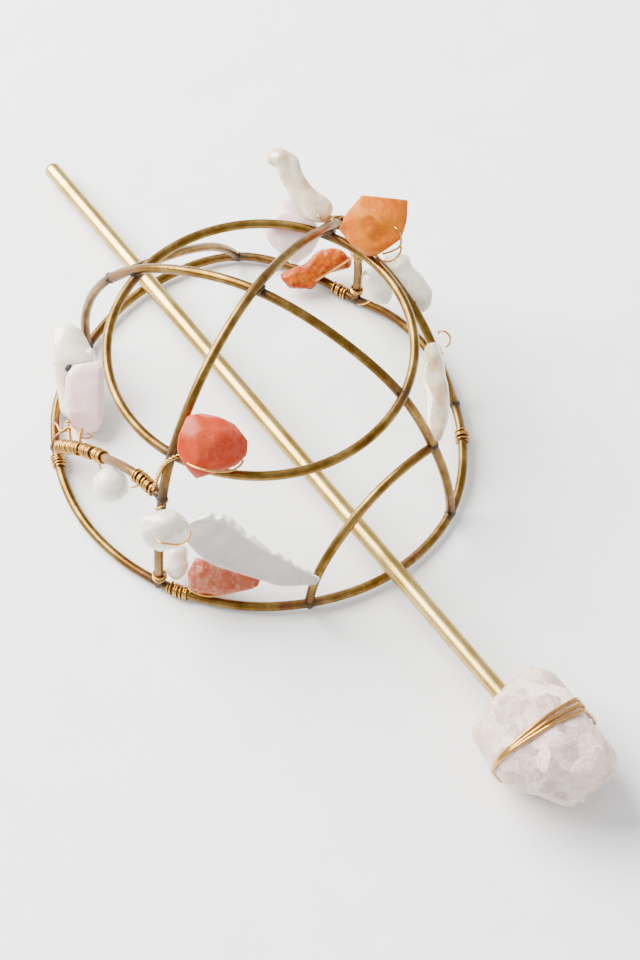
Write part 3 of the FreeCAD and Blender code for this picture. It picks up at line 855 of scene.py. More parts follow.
@dataclass
class CageFrame:
    """Rim, arches, ring and spurs of round wire, with solder at their joints."""

    wire: float = 1.7
    rim_middle: tuple = (-0.1, -0.5)
    rim_height: float = 1.45
    rim: tuple = ((6, 39.5), (27, 39.6), (51, 37.8), (62.7, 36.9), (87, 36.3), (101, 35.7), (113, 34.7),
                  (128, 36.4), (151.7, 40.1), (174, 39.4), (205.1, 37.7), (228, 38.1), (241.5, 37.6),
                  (263, 37.3), (297.5, 37.1), (320, 37.6), (339.2, 38.2))
    arch_a: tuple = ((0, 0), (1.8, 15.9), (6.2, 30.0), (14.5, 39.3), (24.5, 44.3), (35, 45.5),
                     (46, 42.8), (57, 36.9), (65.7, 30.0), (70.9, 18.6), (71.6, 0))
    arch_c: tuple = ((0, 0), (2.5, 16.5), (10.8, 30.2), (23.4, 39.2), (39.4, 43.4), (54.7, 39.8),
                     (66.3, 31.8), (73.1, 20.1), (77.5, 0))
    arch_c_lean: float = 0.022
    spurs: tuple = (
        ("spur_back", 151.7, "arch_c", 28.4, ((0, 0), (5, 7.8), (12.7, 14.7), (20.7, 19.8), (33.3, 26.4))),
        ("spur_left", 241.5, "arch_a", 24.2,
         ((0, 0), (6.9, 7.9), (17.1, 16.6), (26.5, 22.5), (33.7, 23.9))),
        ("spur_front", 339.2, "arch_c", 108.8,
         ((0, 0), (2.2, 7.8), (8.2, 14.9), (15.4, 19.2), (22.5, 20.4), (29.4, 19.7))),
        ("spur_right", 62.7, "arch_a", 113.8, ((0, 0), (4.7, 7.7), (11.1, 15.0), (20, 18.8), (29.8, 18.4))),
    )
    ring_middle: tuple = (3.7, -1.7, 33.2)
    ring_radius: float = 26.5
    arch_a_feet: tuple = (297.5, 113)
    arch_c_feet: tuple = (205.1, 27)
    spacing: float = 0.55
    faces_round: int = 18
    bead_radius: float = 1.04
    bead_relief: float = 0.13
    long_solder: float = 2.2
    solder_share: float = 0.75
    solder_span: tuple = (0.7, 2.4)
    halo_share: float = 0.6
    halo_span: tuple = (2.0, 7.5)
    copper_spots: tuple = ((-9.0, 37.2, 1.5, 9.0), (-30.0, 24.0, 1.5, 6.0), (13.5, -35.8, 1.5, 6.0),
                           (33.0, -17.0, 1.5, 7.0), (39.0, 5.0, 1.5, 5.0), (-20.0, -33.0, 1.5, 6.0))
    courses: dict = field(default_factory=dict)
    joints: dict = field(default_factory=dict)
    sides: dict = field(default_factory=dict)

    def rim_points(self, rows: tuple) -> np.ndarray:
        """Points of the rim: middle + radius (cos angle, sin angle).

        Args:
            rows: angles in degrees, each with its radius.

        Returns:
            One row for each angle.
        """
        angle, radius = np.array(rows, float).T
        turn = np.radians(angle)
        along, across = self.rim_middle
        return np.stack([along + radius * np.cos(turn), across + radius * np.sin(turn),
                         np.full(len(turn), self.rim_height)], axis=-1)

    def rise(self, name: str, foot: np.ndarray, far: np.ndarray, rows: tuple, lean: float = 0.0) -> None:
        """A wire that rises from its foot: foot + station along the ground + height up, with a lean.

        Args:
            name: the wire's name.
            foot: where it starts.
            far: a point over which or at which it ends.
            rows: stations along the ground, each with its height.
            lean: how far it leans aside for each millimetre of height.
        """
        station, height = np.array(rows, float).T
        across = np.array([far[0] - foot[0], far[1] - foot[1], 0.0])
        aside = unit(np.array([across[1], -across[0], 0.0]))
        points = foot + across / station[-1] * station[:, None] + (UP + aside * lean) * height[:, None]
        self.courses[name] = Course(smooth_line(points))
        self.sides[name] = aside

    def lay_out(self) -> None:
        """Works out every centreline and joint."""
        foot = {row[0]: self.rim_points((row,))[0] for row in self.rim}
        front, back, left, right = (foot[angle] for angle in self.arch_a_feet + self.arch_c_feet)
        self.courses["rim"] = Course(smooth_line(self.rim_points(self.rim), closed=True), closed=True)
        self.sides["rim"] = UP
        self.rise("arch_a", front, back, self.arch_a)
        self.rise("arch_c", left, right, self.arch_c, self.arch_c_lean)
        self.joints = {"arch_a_front": front, "arch_a_back": back,
                       "arch_c_left": left, "arch_c_right": right}
        for name, angle, arch, distance, rows in self.spurs:
            landing = self.courses[arch].at(np.array(distance))
            self.rise(name, foot[angle], landing, rows)
            self.joints[name] = foot[angle]
            self.joints[f"{name}_end"] = landing
        turn = np.linspace(0, TURN, 240, endpoint=False)
        round_way = np.stack([np.cos(turn), np.sin(turn), 0 * turn], axis=-1)
        ring = np.array(self.ring_middle) + self.ring_radius * round_way
        self.courses["ring"] = Course(ring, closed=True)
        self.sides["ring"] = UP
        for name, first, second, low, high in (
                ("ring_on_a_front", "arch_a", "ring", 20, 50),
                ("ring_on_a_back", "arch_a", "ring", 85, 110),
                ("ring_on_c_left", "arch_c", "ring", 20, 50),
                ("ring_on_c_right", "arch_c", "ring", 85, 110),
                ("arches", "arch_a", "arch_c", 50, 90)):
            here = self.courses[first].at(np.linspace(low, high, 300))
            there = self.courses[second].points
            gaps = np.linalg.norm(here[:, None] - there[None], axis=-1)
            row, column = np.unravel_index(np.argmin(gaps), gaps.shape)
            self.joints[name] = (here[row] + there[column]) / 2

    def marks(self, points: np.ndarray) -> dict[str, np.ndarray]:
        """Solder greyness near the joints; copper stains near their spots and further round the joints.

        Args:
            points: the wires' points, one row each.

        Returns:
            The marks by name, each with one value for each point.
        """
        joints = np.array(list(self.joints.values()))
        reach = np.where(np.array(list(self.joints)) == "spur_left_end", self.long_solder, 1.0)
        near = (np.linalg.norm(points[:, None] - joints[None], axis=-1) / reach).min(axis=1)
        wander = ripple(points, 4.0, 5) * 0.7
        spots = np.array(self.copper_spots)
        gaps = np.linalg.norm(points[:, None] - spots[None, :, :3], axis=-1) / spots[:, 3]
        stain = 1 - smoothstep(0.3, 1.0, gaps.min(axis=1))
        halo = self.halo_share * (1 - smoothstep(*self.halo_span, near + wander * 2))
        return {"solder": self.solder_share * (1 - smoothstep(*self.solder_span, near + wander)),
                "copper": np.maximum(stain, halo)}

    def build(self) -> None:
        """Makes the wires and the solder."""
        self.lay_out()
        finish = AgedBrass()
        groups = {"cage_rim_wire": ("rim",), "cage_arches": ("arch_a", "arch_c"),
                  "cage_ring_wire": ("ring",), "cage_spurs": tuple(row[0] for row in self.spurs)}
        for name, members in groups.items():
            shell = Shell()
            for member in members:
                self.add_wire(shell, member)
            marks = self.marks(shell.all_points())
            shell.piece(name, finish, "cage", "frame_brass", marks)
        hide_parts("cage_frame")
        shell = Shell()
        for number, middle in enumerate(self.joints.values()):
            shell.add(self.solder_bead(middle, number))
        shell.piece("solder_joints", Solder(), "cage", "frame_brass")

    def add_wire(self, shell: Shell, name: str) -> None:
        """Adds a wire: rings joined into a loop where it is closed, else a tube with rounded ends.

        Args:
            shell: what it is added to.
            name: the wire's name.
        """
        course = self.courses[name]
        count = int(course.length / self.spacing)
        where = np.linspace(0, course.length, count, endpoint=not course.closed)
        line = course.at(where)
        if course.closed:
            other = np.cross(course.heading(where), UP)
            shell.add(ring_grid(line, self.wire / 2, UP, other, self.faces_round), closed=True)
        else:
            shell.add(thread_grid(line, self.wire / 2, self.sides[name], self.faces_round))

    def solder_bead(self, middle: np.ndarray, number: int) -> np.ndarray:
        """A lumpy bead: middle + way (radius + relief).

        Args:
            middle: where the wires meet.
            number: draws the relief.

        Returns:
            Array of rows, columns, 3.
        """
        rise = np.linspace(0.12, math.pi - 0.12, 16)[:, None]
        turn = np.linspace(0, TURN, 24, endpoint=False)[None]
        way = np.stack([np.sin(rise) * np.cos(turn), np.sin(rise) * np.sin(turn),
                        -np.cos(rise) + 0 * turn], axis=-1)
        relief = self.bead_relief * ripple(way * 1.1, 1.5, 20 + number)
        return middle + way * (self.bead_radius + relief)[..., None]


# --------------------------------------------------------------------------- stones and pearls

LOFT_STEPS = 12     # samples for each span of a loft
NOSE_REACH = 0.35   # how far a loft's end stands out, as a share of its last half width
ENDWISE = 0.35      # a stone's relief lengthwise, as a share of its relief across
SEED_STEP = 31      # keeps the reliefs of different stones apart
RIDGES = 3          # ridges along a pearl
RIDGE_WEAVE = (0.5, 0.55)  # how far they weave, and how fast along the stone


class Face(Enum):
    """Which way a stone's broad side turns."""

    OPEN = (0.43, -0.30, 0.85)
    STEEP = (0.77, -0.54, 0.34)


def within(points: np.ndarray, ways: np.ndarray, reach: np.ndarray, edge: float) -> np.ndarray:
    """Draws points in behind planes: p becomes p / max(1, (sum (p.n / h)^k)^(1/k))."""
    total = ((np.maximum(points @ ways.T, 1e-6) / reach) ** edge).sum(axis=-1) ** (1 / edge)
    return points / np.maximum(total, 1.0)[..., None]


@dataclass
class Gem:
    """A stone or pearl: a loft about its own length, cut by planes and given relief."""

    label: str
    middle: tuple
    lengthwise: tuple
    rows: tuple
    dress: Dress
    slot: str
    thickness: float = 0.7
    face: Face = Face.OPEN
    square: float = 2.0
    cuts: int = 0
    cut_depth: tuple = (0.80, 0.97)
    cut_edge: float = 22.0
    relief: tuple = ((3.0, 0.05),)
    seed: int = 1
    fine: tuple = (110, 96)
    ridges: float = 0.0
    bound: bool = True
    outline: tuple = ()
    slack: float = 1.08

    def axes(self) -> np.ndarray:
        """The stone's own axes.

        Returns:
            Length, width and thickness, one row each.
        """
        along = unit(np.array(self.lengthwise, float))
        face = np.array(self.face.value)
        out = unit(face - along * (face @ along))
        return np.stack([along, np.cross(out, along), out])

    def loft(self) -> np.ndarray:
        """Loft through the rows, closed round at both ends.

        A point is (station, shift + half width c, half width x thickness x s), with c and s the
        cosine and sine of its angle, each taken to the power 2 / square.

        Returns:
            Array of rows, columns, 3 in the stone's own axes.
        """
        given = np.array(self.rows, float)
        first, last = given[0], given[-1]
        nose = np.array([first[0] - NOSE_REACH * first[1], 0.0, first[2]])
        tail = np.array([last[0] + NOSE_REACH * last[1], 0.0, last[2]])
        mirror = np.array([1.0, -1.0, 1.0])
        whole = smooth_line(np.vstack([first * mirror, nose, given, tail, last * mirror]), steps=LOFT_STEPS)
        whole = whole[LOFT_STEPS:-LOFT_STEPS]
        along = distances(whole)
        where = np.linspace(0, along[-1], self.fine[0])[1:-1]
        station, half, shift = at_stations(whole, along, where).T[..., None]
        half = np.maximum(half, THINNEST)
        cosine, sine = squarish(self.fine[1], 2 / self.square)
        return np.stack([station + 0 * cosine, shift + half * cosine,
                         half * self.thickness * sine], axis=-1)

    def cut(self, grid: np.ndarray) -> np.ndarray:
        """Planes drawn from the seed cut the loft.

        Args:
            grid: the loft, about the stone's middle.

        Returns:
            The loft, drawn in behind the planes.
        """
        if not self.cuts:
            return grid
        source = np.random.default_rng(self.seed)
        size = np.abs(grid).reshape(-1, 3).max(axis=0)
        ways = unit(source.normal(size=(self.cuts, 3)) / size * size.mean())
        reach = (grid.reshape(-1, 3) @ ways.T).max(axis=0) * source.uniform(*self.cut_depth, self.cuts)
        return within(grid, ways, reach, self.cut_edge)

    def swell(self, grid: np.ndarray) -> np.ndarray:
        """Relief: each point moves out from the stone's line by a share of its distance.

        Args:
            grid: the stone in its own axes.

        Returns:
            The stone with its relief and ridges.
        """
        for number, (wavelength, height) in enumerate(self.relief):
            out = grid * np.array([ENDWISE, 1.0, 1.0])
            swelling = height * ripple(grid, wavelength, self.seed * SEED_STEP + number)
            grid = grid + out * swelling[..., None]
        if self.ridges:
            weave, pace = RIDGE_WEAVE
            turn = np.arctan2(grid[..., 2], grid[..., 1]) + weave * np.sin(grid[..., 0] * pace)
            swelling = self.ridges * np.cos(RIDGES * turn)
            grid = grid * (1 + np.array([0.0, 1.0, 1.0]) * swelling[..., None])
        return grid

    def grid(self) -> np.ndarray:
        """The stone's surface where it lies, trimmed to its outline in the picture if it has one.

        Returns:
            Array of rows, columns, 3.
        """
        middle = np.array(self.middle)
        own = self.swell(self.cut(self.loft())) @ self.axes()
        if self.outline:
            own = within(own * self.slack, *SIGHT.silhouette(self.outline, middle), self.cut_edge)
        return middle + own

    def build(self) -> None:
        """Makes the stone."""
        shell = Shell()
        shell.add(self.grid())
        piece = shell.piece(f"{self.label}_surface", self.dress.value, "cage", self.slot, self.marks())
        if self.bound:
            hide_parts(self.label)

    def marks(self) -> dict[str, np.ndarray] | None:
        """Values for the finish: none."""
        return None


@dataclass
class WingPearl(Gem):
    """The thin wing-shaped pearl, with one edge thick and ruffled, its brightness partly a painted
    highlight.
    """

    edge_span: tuple = (0.55, 0.9)
    ruffle: float = 1.8
    thicker: tuple = (0.5, 1.1)
    sway: tuple = (0.25, 0.6)
    wider: float = 0.4

    def swell(self, grid: np.ndarray) -> np.ndarray:
        """The upper edge is thicker, a string of small uneven beads, and sways a little.

        Args:
            grid: the pearl in its own axes.

        Returns:
            The pearl with its edge.
        """
        station, width, depth = grid[..., 0], grid[..., 1], grid[..., 2]
        edge = self.edge(width)
        lengthwise = grid * np.array([1.0, 0.4, 0.0])
        beads = np.clip(0.5 + 0.7 * ripple(lengthwise, self.ruffle, self.seed + 5), 0, 1.2)
        sway, pace = self.sway
        depth = depth * (1 + edge * (self.thicker[0] + self.thicker[1] * beads))
        depth = depth + sway * np.sin(station * pace) * edge
        width = width + edge * self.wider * (beads - 0.4)
        return np.stack([station, width, depth * (1 + 0.08 * ripple(grid, 4.0, self.seed))], axis=-1)

    def edge(self, width: np.ndarray) -> np.ndarray:
        """1 along the upper edge, 0 below it."""
        return smoothstep(*self.edge_span, width / np.maximum(width.max(axis=1, keepdims=True), 0.3))

    def marks(self) -> dict[str, np.ndarray]:
        """The thick rim, which the finish paints paler, partly as a highlight, and nothing at the two
        poles.
        """
        return {"rim": np.concatenate([self.edge(self.cut(self.loft())[..., 1]).ravel(), [0.0, 0.0]])}


def lump(radius: float) -> tuple:
    """Rows of a small round lump."""
    shares = ((-0.9, 0.45), (-0.5, 0.87), (0.0, 1.0), (0.5, 0.87), (0.9, 0.45))
    return tuple((radius * station, radius * half, 0.0) for station, half in shares)


def seen_at(across: float, down: float, proud: float, middle: tuple) -> tuple:
    """A place seen at a spot of the picture, as far in front of a stone's middle as said."""
    return tuple(SIGHT.place([(across, down, proud)], np.array(middle))[0])


STONES = [
    Gem("stick_pearl", (-17.8, 21.7, 37.7), (0.89, -0.02, -0.45),
        ((-8.2, 0.9, -0.9), (-7.3, 1.9, -0.9), (-4.8, 2.2, -0.1), (-1.9, 2.0, -0.5), (1.0, 2.2, -0.3),
         (4.2, 2.7, 0.4), (6.5, 2.0, 0.9), (7.3, 0.9, 0.9)),
        Dress.RIDGED_PEARL, "pearl", 0.75, relief=((4.0, 0.05),), seed=3, ridges=0.07),
    Gem("rose_stone_back", (-15.9, 18.4, 29.3), (0.82, -0.27, -0.51),
        ((-5.9, 0.9, 0.5), (-4.6, 2.4, 0.1), (-1.8, 4.2, -0.3), (1.0, 4.7, 0.3), (3.5, 3.5, 0.1),
         (5.3, 1.2, -0.6)),
        Dress.ROSE, "rose_stone", 0.7, square=2.4, cuts=12, cut_depth=(0.86, 0.98),
        relief=((4.0, 0.03),), seed=4),
    Gem("carnelian_chip", (-22.2, 28.1, 4.4), (0.30, 0.94, 0.18),
        ((-6.8, 0.9, 0.9), (-4.9, 2.1, -0.5), (-1.8, 2.4, -0.7), (1.3, 2.3, 0.6), (4.2, 2.6, 0.7),
         (6.5, 1.1, -0.4)),
        Dress.CARNELIAN, "carnelian", 0.75, square=2.6, cuts=22, cut_depth=(0.78, 0.97), cut_edge=50,
        relief=((3.0, 0.08), (1.3, 0.03)), seed=5),
    Gem("peach_stone", (-3.8, 28.0, 38.2), (0.07, 0.95, 0.30),
        ((-6.2, 1.1, 1.6), (-4.2, 4.1, 0.0), (-0.8, 5.2, 0.0), (2.2, 5.1, 0.1), (5.0, 2.9, -0.1),
         (7.1, 0.7, 0.1)),
        Dress.PEACH, "peach_stone", 0.65, square=3.2, cuts=14, cut_depth=(0.86, 0.99), cut_edge=60,
        relief=((3.4, 0.02),), seed=6,
        outline=(
            (362, 195), (408, 200), (407, 221), (400, 243), (385, 251), (373, 260), (352, 246),
            (339, 230), (345, 215))),
    Gem("moonstone_outer", (-2.3, 34.5, 17.2), (0.90, 0.05, -0.43),
        ((-6.4, 1.0, 0.0), (-4.5, 2.8, 0.1), (-1.4, 2.7, -0.3), (1.6, 2.9, 0.0), (4.5, 2.7, 0.3),
         (6.4, 1.1, 0.0)),
        Dress.MOON, "moonstone", 0.8, square=2.3, cuts=16, cut_depth=(0.84, 0.98),
        relief=((4.0, 0.03),), seed=7,
        outline=(
            (382, 257), (396, 251), (410, 256), (433, 292), (431, 307), (421, 314), (408, 308),
            (378, 268))),
    Gem("moonstone_inner", (-9.7, 33.7, 7.8), (0.89, -0.04, -0.46),
        ((-4.0, 0.6, -0.2), (-2.7, 1.9, 0.0), (-0.6, 2.4, 0.0), (1.5, 2.3, 0.0), (3.3, 0.9, 0.1)),
        Dress.MOON, "moonstone", 0.8, relief=((3.0, 0.04),), seed=8, fine=(70, 64)),
    Gem("long_pearl", (18.9, 25.1, 13.8), (0.79, -0.61, 0.0),
        ((-10.8, 0.8, -0.3), (-9.0, 1.7, -0.3), (-5.0, 2.3, -0.3), (-1.0, 2.6, 0.0), (3.0, 2.6, 0.3),
         (6.5, 2.0, 0.4), (9.6, 1.6, 0.0), (10.8, 0.8, -0.3)),
        Dress.RIDGED_PEARL, "pearl", 0.8, relief=((4.0, 0.04),), seed=9, ridges=0.06),
    Gem("left_pearl", (-30.8, -22.6, 6.8), (0.67, -0.52, -0.52),
        ((-6.0, 0.9, -0.3), (-5.0, 2.3, -0.2), (-2.1, 3.7, 0.3), (0.8, 4.0, 0.9), (2.2, 2.0, -0.7),
         (4.4, 1.0, -1.2), (7.6, 0.8, -0.6), (11.3, 0.4, 0.3)),
        Dress.PEARL, "pearl", 0.7, relief=((6.0, 0.04),), seed=10),
    Gem("left_pearl_knob", seen_at(89, 354, 0.8, (-30.8, -22.6, 6.8)), (0.67, -0.52, -0.52), lump(1.15),
        Dress.PEARL, "pearl", 1.0, relief=((3.0, 0.02),), seed=31, fine=(30, 28), bound=False),
    Gem("left_black_chip", seen_at(69, 368.5, 1.4, (-22.2, -23.9, 4.9)), (0.67, -0.52, -0.52), lump(0.8),
        Dress.BLACK, "rose_stone", 0.8, cuts=9, cut_edge=60, seed=32, fine=(30, 28), bound=False),
    Gem("outer_black_chip", seen_at(414, 303, 2.2, (-2.3, 34.5, 17.2)), (0.9, 0.05, -0.43), lump(0.4),
        Dress.BLACK, "moonstone", 0.8, cuts=9, cut_edge=60, seed=33, fine=(24, 22), bound=False),
    Gem("rose_stone_left", (-22.2, -23.9, 4.9), (0.71, -0.47, -0.52),
        ((-6.5, 1.5, 1.2), (-5.0, 3.0, 0.5), (-2.0, 3.5, -0.1), (1.5, 3.5, -0.3), (4.7, 3.2, 0.0),
         (6.7, 1.6, 0.5)),
        Dress.ROSE, "rose_stone", 0.75, square=4.5, cuts=8, cut_depth=(0.9, 0.99),
        relief=((4.0, 0.015),), seed=11,
        outline=(
            (66, 366), (101, 360), (105, 370), (103, 420), (98, 431), (84, 434), (72, 427), (64, 410)),
        cut_edge=50),
    Gem("moonstone_bead", (3.6, -33.7, 17.2), (0.80, 0.57, -0.20),
        ((-3.0, 0.8, 0.0), (-2.2, 2.2, 0.0), (-0.8, 2.95, 0.0), (0.8, 2.95, 0.0), (2.2, 2.2, 0.0),
         (3.0, 0.8, 0.0)),
        Dress.MOON, "moonstone", 1.0, relief=((4.0, 0.02),), seed=12, fine=(70, 64)),
    Gem("coral_stone", (18.5, -22.0, 38.8), (0.67, 0.74, -0.07),
        ((-6.0, 1.1, 1.2), (-4.6, 3.5, 0.8), (-2.0, 5.1, -0.2), (0.8, 5.1, -0.4), (3.6, 3.9, 0.0),
         (5.4, 2.3, 0.3), (6.4, 0.8, 0.3)),
        Dress.CORAL, "coral_stone", 0.7, square=2.3, cuts=24, cut_depth=(0.88, 0.985), cut_edge=50,
        relief=((4.0, 0.02),), seed=13,
        outline=(
            (178, 437), (187, 416), (200, 413), (218, 416), (235, 424), (248, 441), (247, 455),
            (236, 466), (210, 475), (196, 479), (186, 468), (177, 452))),
    Gem("front_moonstone", (19.1, -33.0, 22.1), (0.58, 0.82, 0.0),
        ((-4.6, 1.0, 0.0), (-3.3, 2.7, -0.2), (-0.9, 3.7, -0.1), (1.2, 3.8, 0.3), (3.3, 2.7, 0.1),
         (4.5, 1.1, 0.1)),
        Dress.MOON, "moonstone", 0.75, Face.STEEP, square=2.3, cuts=30, cut_depth=(0.86, 0.97),
        cut_edge=70, relief=((4.0, 0.01),), seed=14,
        outline=(
            (143, 517), (160, 503), (176, 507), (189, 520), (190, 538), (176, 548), (160, 552),
            (146, 545), (138, 531))),
    Gem("front_pearl", (16.3, -29.2, 4.1), (0.68, -0.51, -0.52),
        ((-3.1, 0.9, 0.0), (-2.2, 1.9, 0.0), (-0.4, 2.1, 0.0), (1.7, 1.9, 0.0), (3.2, 0.7, 0.0)),
        Dress.PEARL, "pearl", 0.9, relief=((3.0, 0.04),), seed=15, fine=(70, 64)),
    WingPearl("wing_pearl", (25.4, -21.2, 12.1), (0.80, 0.57, -0.20),
              ((-10.4, 1.2, 0.0), (-8.8, 2.8, 0.5), (-5.0, 4.4, 0.6), (-0.4, 3.7, 0.0), (4.1, 2.9, -0.4),
               (8.7, 2.3, -0.5), (12.2, 1.3, 0.1), (14.2, 0.5, 0.5)),
              Dress.WING_IN_PAINTED_SHADE, "pearl", 0.26, seed=16, fine=(180, 110)),
    Gem("low_coral_stone", (24.0, -25.6, 4.7), (0.65, 0.76, -0.06),
        ((-5.5, 1.1, 0.5), (-4.2, 2.8, 0.3), (-2.4, 3.3, 0.1), (0.4, 2.6, -0.2), (3.2, 2.0, -0.2),
         (5.6, 1.3, 0.0), (7.4, 0.5, 0.4)),
        Dress.LOW_CORAL, "coral_stone", 0.8, square=2.6, cuts=30, cut_depth=(0.82, 0.97), cut_edge=60,
        relief=((2.6, 0.03),), seed=17,
        outline=(
            (196, 557), (212, 562), (261, 579), (257, 588), (220, 596), (201, 595), (190, 588),
            (187, 573))),
]


# --------------------------------------------------------------------------- thin wires

THREAD_FACES = 8    # faces round a thin wire


@dataclass
class Bindings:
    """Coils of thin wire bound round the cage's wires."""

    cage: CageFrame
    wire: float = 0.4
    gap: float = 0.03
    coils: tuple = (
        # label, carrier, joint, distance from it, turns, advance a turn, first angle
        ("wrap_rim_left", "rim", "spur_left", 2.1, 4, 0.60, 0.5),
        ("wrap_spur_left_foot", "spur_left", "spur_left", 2.0, 13, 0.90, 0.0),
        ("wrap_spur_left_top", "spur_left", "spur_left_end", -7.6, 8, 0.66, 1.0),
        ("wrap_rim_front", "rim", "arch_a_front", 1.8, 7, 0.60, 0.2),
        ("wrap_leg_front", "arch_a", "arch_a_front", 1.9, 2, 0.65, 1.4),
        ("wrap_arch_back", "arch_a", "ring_on_a_back", 2.6, 3, 0.65, 0.3),
        ("wrap_leg_back_top", "arch_a", "spur_right_end", 1.9, 4, 0.66, 0.9),
        ("wrap_leg_back_foot", "arch_a", "arch_a_back", -3.2, 2, 0.62, 0.4),
        ("wrap_rim_back", "rim", "arch_a_back", 1.9, 5, 0.62, 0.7),
        ("wrap_spur_right", "spur_right", "spur_right", 10.6, 3, 0.62, 0.1),
        ("wrap_rim_right", "rim", "spur_right", -8.5, 4, 0.60, 0.6),
    )
    loose: tuple = (
        ("spur_left_windings", "spur_left", "spur_left", 14.8, 5, 0.80, 0.4),
        ("spur_left_upper_windings", "spur_left", "spur_left", 20.2, 5, 0.62, 0.9),
    )
    samples: int = 26
    drift: tuple = ((0.16, 0.37, 1), (0.08, 0.61, 2))
    slack: tuple = (0.05, 0.83)

    def build(self) -> None:
        """Each coil winds as centre + radius (side cos a + other sin a), a little unevenly."""
        rows = enumerate(self.coils + self.loose)
        for number, (label, carrier, joint, offset, turns, pitch, phase) in rows:
            course = self.cage.courses[carrier]
            turn = np.linspace(0, TURN * turns, self.samples * turns)
            start = course.nearest(self.cage.joints[joint]) + offset
            uneven = sum(share * np.sin(turn * pace + step * number) for share, pace, step in self.drift)
            where = start + pitch * (turn / TURN + uneven)
            out = course.outward(where, self.cage.sides[carrier], turn + phase)
            loose, pace = self.slack
            tight = (self.cage.wire + self.wire) / 2 + self.gap
            radius = tight + loose * (1 + np.sin(turn * pace + number))
            line = course.at(where) + out * radius[:, None]
            shell = Shell()
            shell.add(thread_grid(line, self.wire / 2, out, THREAD_FACES))
            piece = shell.piece(f"{label}_thread", GoldWire(), "cage", "gold_wire")
            if number < len(self.coils):
                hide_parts(label)


